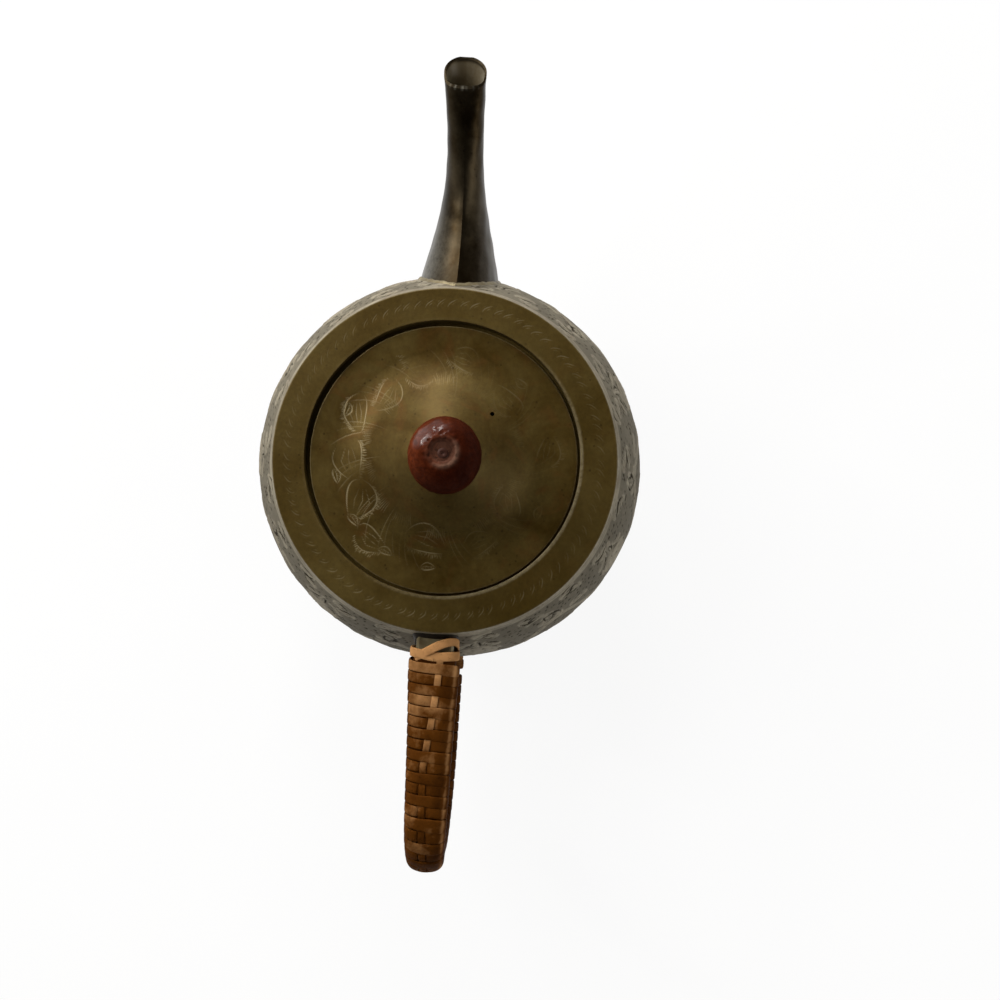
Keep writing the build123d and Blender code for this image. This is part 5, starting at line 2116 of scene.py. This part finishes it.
@dataclass(frozen=True)
class Studio:
    """The floor, the soft light and the camera over the pot."""

    eye: tuple[float, float, float] = (-14.7, -14.0, 318.0)
    roll: float = 3.2
    tilt: float = 1.4
    lens: float = 39.6
    sensor: float = 36.0
    shift: float = -0.0017
    floor_size: float = 30.0
    floor_glow: float = 0.91

    def camera(self) -> None:
        """Sets the camera above the pot, turned so that the spout points up in the picture."""
        roll, tilt = math.radians(self.roll), math.radians(self.tilt)
        up = Vector((math.cos(roll), math.sin(roll), 0.0))
        right = Vector((math.sin(roll), -math.cos(roll), 0.0))
        ahead = Vector((0.0, 0.0, -1.0)) * math.cos(tilt) + up * math.sin(tilt)
        head = right.cross(ahead)
        turn = Matrix((right, head, -ahead)).transposed().to_4x4()
        data = bpy.data.cameras.new("camera")
        data.lens, data.sensor_width, data.sensor_height = self.lens, self.sensor, self.sensor
        data.shift_x = self.shift
        data.clip_start, data.clip_end = 0.01, 60.0
        camera = linked("camera", data)
        camera.matrix_world = Matrix.Translation(Vector(self.eye) * MM) @ turn
        bpy.context.scene.camera = camera

    @staticmethod
    def seen(nodes: Nodes) -> Socket:
        """1 for rays that the camera, a mirror or glass sees, and 0 for others."""
        rays = nodes.add("ShaderNodeLightPath").outputs
        mirrored = nodes.sum(rays["Is Glossy Ray"], rays["Is Transmission Ray"], "MAXIMUM")
        return nodes.sum(rays["Is Camera Ray"], mirrored, "MAXIMUM")

    def floor(self) -> None:
        """Lays the pale floor, which keeps the pot's shadow."""
        mesh = bpy.data.meshes.new("floor")
        corner_signs = ((-0.5, -0.5), (0.5, -0.5), (0.5, 0.5), (-0.5, 0.5))
        points = [(x * self.floor_size, y * self.floor_size, 0.0) for x, y in corner_signs]
        mesh.from_pydata(points, [], [(0, 1, 2, 3)])
        material, nodes, shader = new_finish("pale_floor")
        pale = nodes.ramp(nodes.noise(30.0, 3.0), [(0.3, (0.88, 0.88, 0.87)), (0.7, (0.92, 0.92, 0.91))])
        nodes.feed(shader, {"Base Color": pale, "Roughness": 0.9, "Specular IOR Level": 0.1})
        glow = nodes.first("ShaderNodeEmission", {"Strength": 1.0})
        feeds = {0: nodes.times(self.seen(nodes), self.floor_glow), 1: shader.outputs[0], 2: glow}
        nodes.feed(nodes.found("OUTPUT_MATERIAL"), {"Surface": nodes.first("ShaderNodeMixShader", feeds)})
        shown(mesh, material)

    def sky(self) -> None:
        """Lights the room: pale walls, brighter on the window's side, and a dim ceiling."""
        world = bpy.data.worlds.new("room")
        world.use_nodes = True
        bpy.context.scene.world = world
        nodes = Nodes(world.node_tree)
        world.node_tree.nodes.clear()
        way = nodes.add("ShaderNodeTexCoord").outputs["Generated"]
        aim = nodes.add("ShaderNodeSeparateXYZ", {0: way}).outputs
        room = nodes.ramp(aim[2], grey((0.0, 1.0), (0.25, 0.85), (0.52, 0.5), (0.8, 0.19), (1.0, 0.1)))
        sideways = nodes.sum(nodes.times(aim[0], 0.75), nodes.times(aim[1], 0.65))
        room = nodes.blend(1.0, room, nodes.level(sideways, -0.7, 0.85, 0.12, 1.3), "MULTIPLY")
        colour = nodes.blend(nodes.add("ShaderNodeLightPath").outputs["Is Camera Ray"], room, (1.0, 1.0, 1.0))
        background = nodes.first("ShaderNodeBackground", {"Color": colour})
        nodes.add("ShaderNodeOutputWorld", {"Surface": background})

    @staticmethod
    def softbox(name: str, place: Sequence[float], size: float, power: float, colour: Colour) -> None:
        """Hangs a soft lamp that faces the pot.

        Args:
            name: the lamp's name.
            place: where it hangs, in metres.
            size: its side.
            power: its power in watts.
            colour: its colour.
        """
        data = bpy.data.lights.new(name, "AREA")
        data.size, data.energy, data.color = size, power, colour
        lamp = linked(name, data)
        aim = Vector((0.0, 0.0, 0.06)) - Vector(place)
        lamp.matrix_world = Matrix.Translation(place) @ aim.to_track_quat("-Z", "Y").to_matrix().to_4x4()

    def build(self) -> None:
        """Sets up the whole studio."""
        self.camera()
        self.floor()
        self.sky()
        for name, place, size, power, colour in (
            ("window", (0.36, 0.56, 0.6), 0.5, 5.2, (1.0, 0.98, 0.95)),
            ("pane", (0.29, 0.66, 0.44), 0.07, 1.1, (1.0, 0.97, 0.93)),
            ("skylight", (0.8, 0.16, 0.29), 0.3, 6.0, (1.0, 0.98, 0.96)),
            ("fill", (-0.25, -0.75, 0.42), 0.5, 2.4, (1.0, 0.99, 0.97)),
        ):
            self.softbox(name, place, size, power, colour)
        bpy.context.scene.view_settings.view_transform = "Standard"


def dress_kept_nodes(frame: dict, finishes: Finishes) -> None:
    """Gives the CAD nodes that stay their finish.

    Args:
        frame: the loaded frame.
        finishes: every finish.
    """
    for name in ("handle_core", "handle_root_upper", "handle_root_lower"):
        node = frame["nodes"][name]
        node.data.materials.clear()
        node.data.materials.append(finishes.socket)
        log.info("%s: kept with its own mesh", name)


def main() -> None:
    """Builds the dressed teapot over its frame."""
    logging.basicConfig(level=logging.INFO, format="%(name)s: %(message)s")
    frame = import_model()
    finishes = Finishes.mixed()
    making = Making()
    Studio().build()
    body = PotBody(finishes, making)
    body.build()
    Spout(finishes, making, body).build()
    Handle(finishes, making, body).build()
    Lid(finishes, making).build()
    Knob(finishes).build()
    dress_kept_nodes(frame, finishes)


if __name__ == "__main__":
    main()
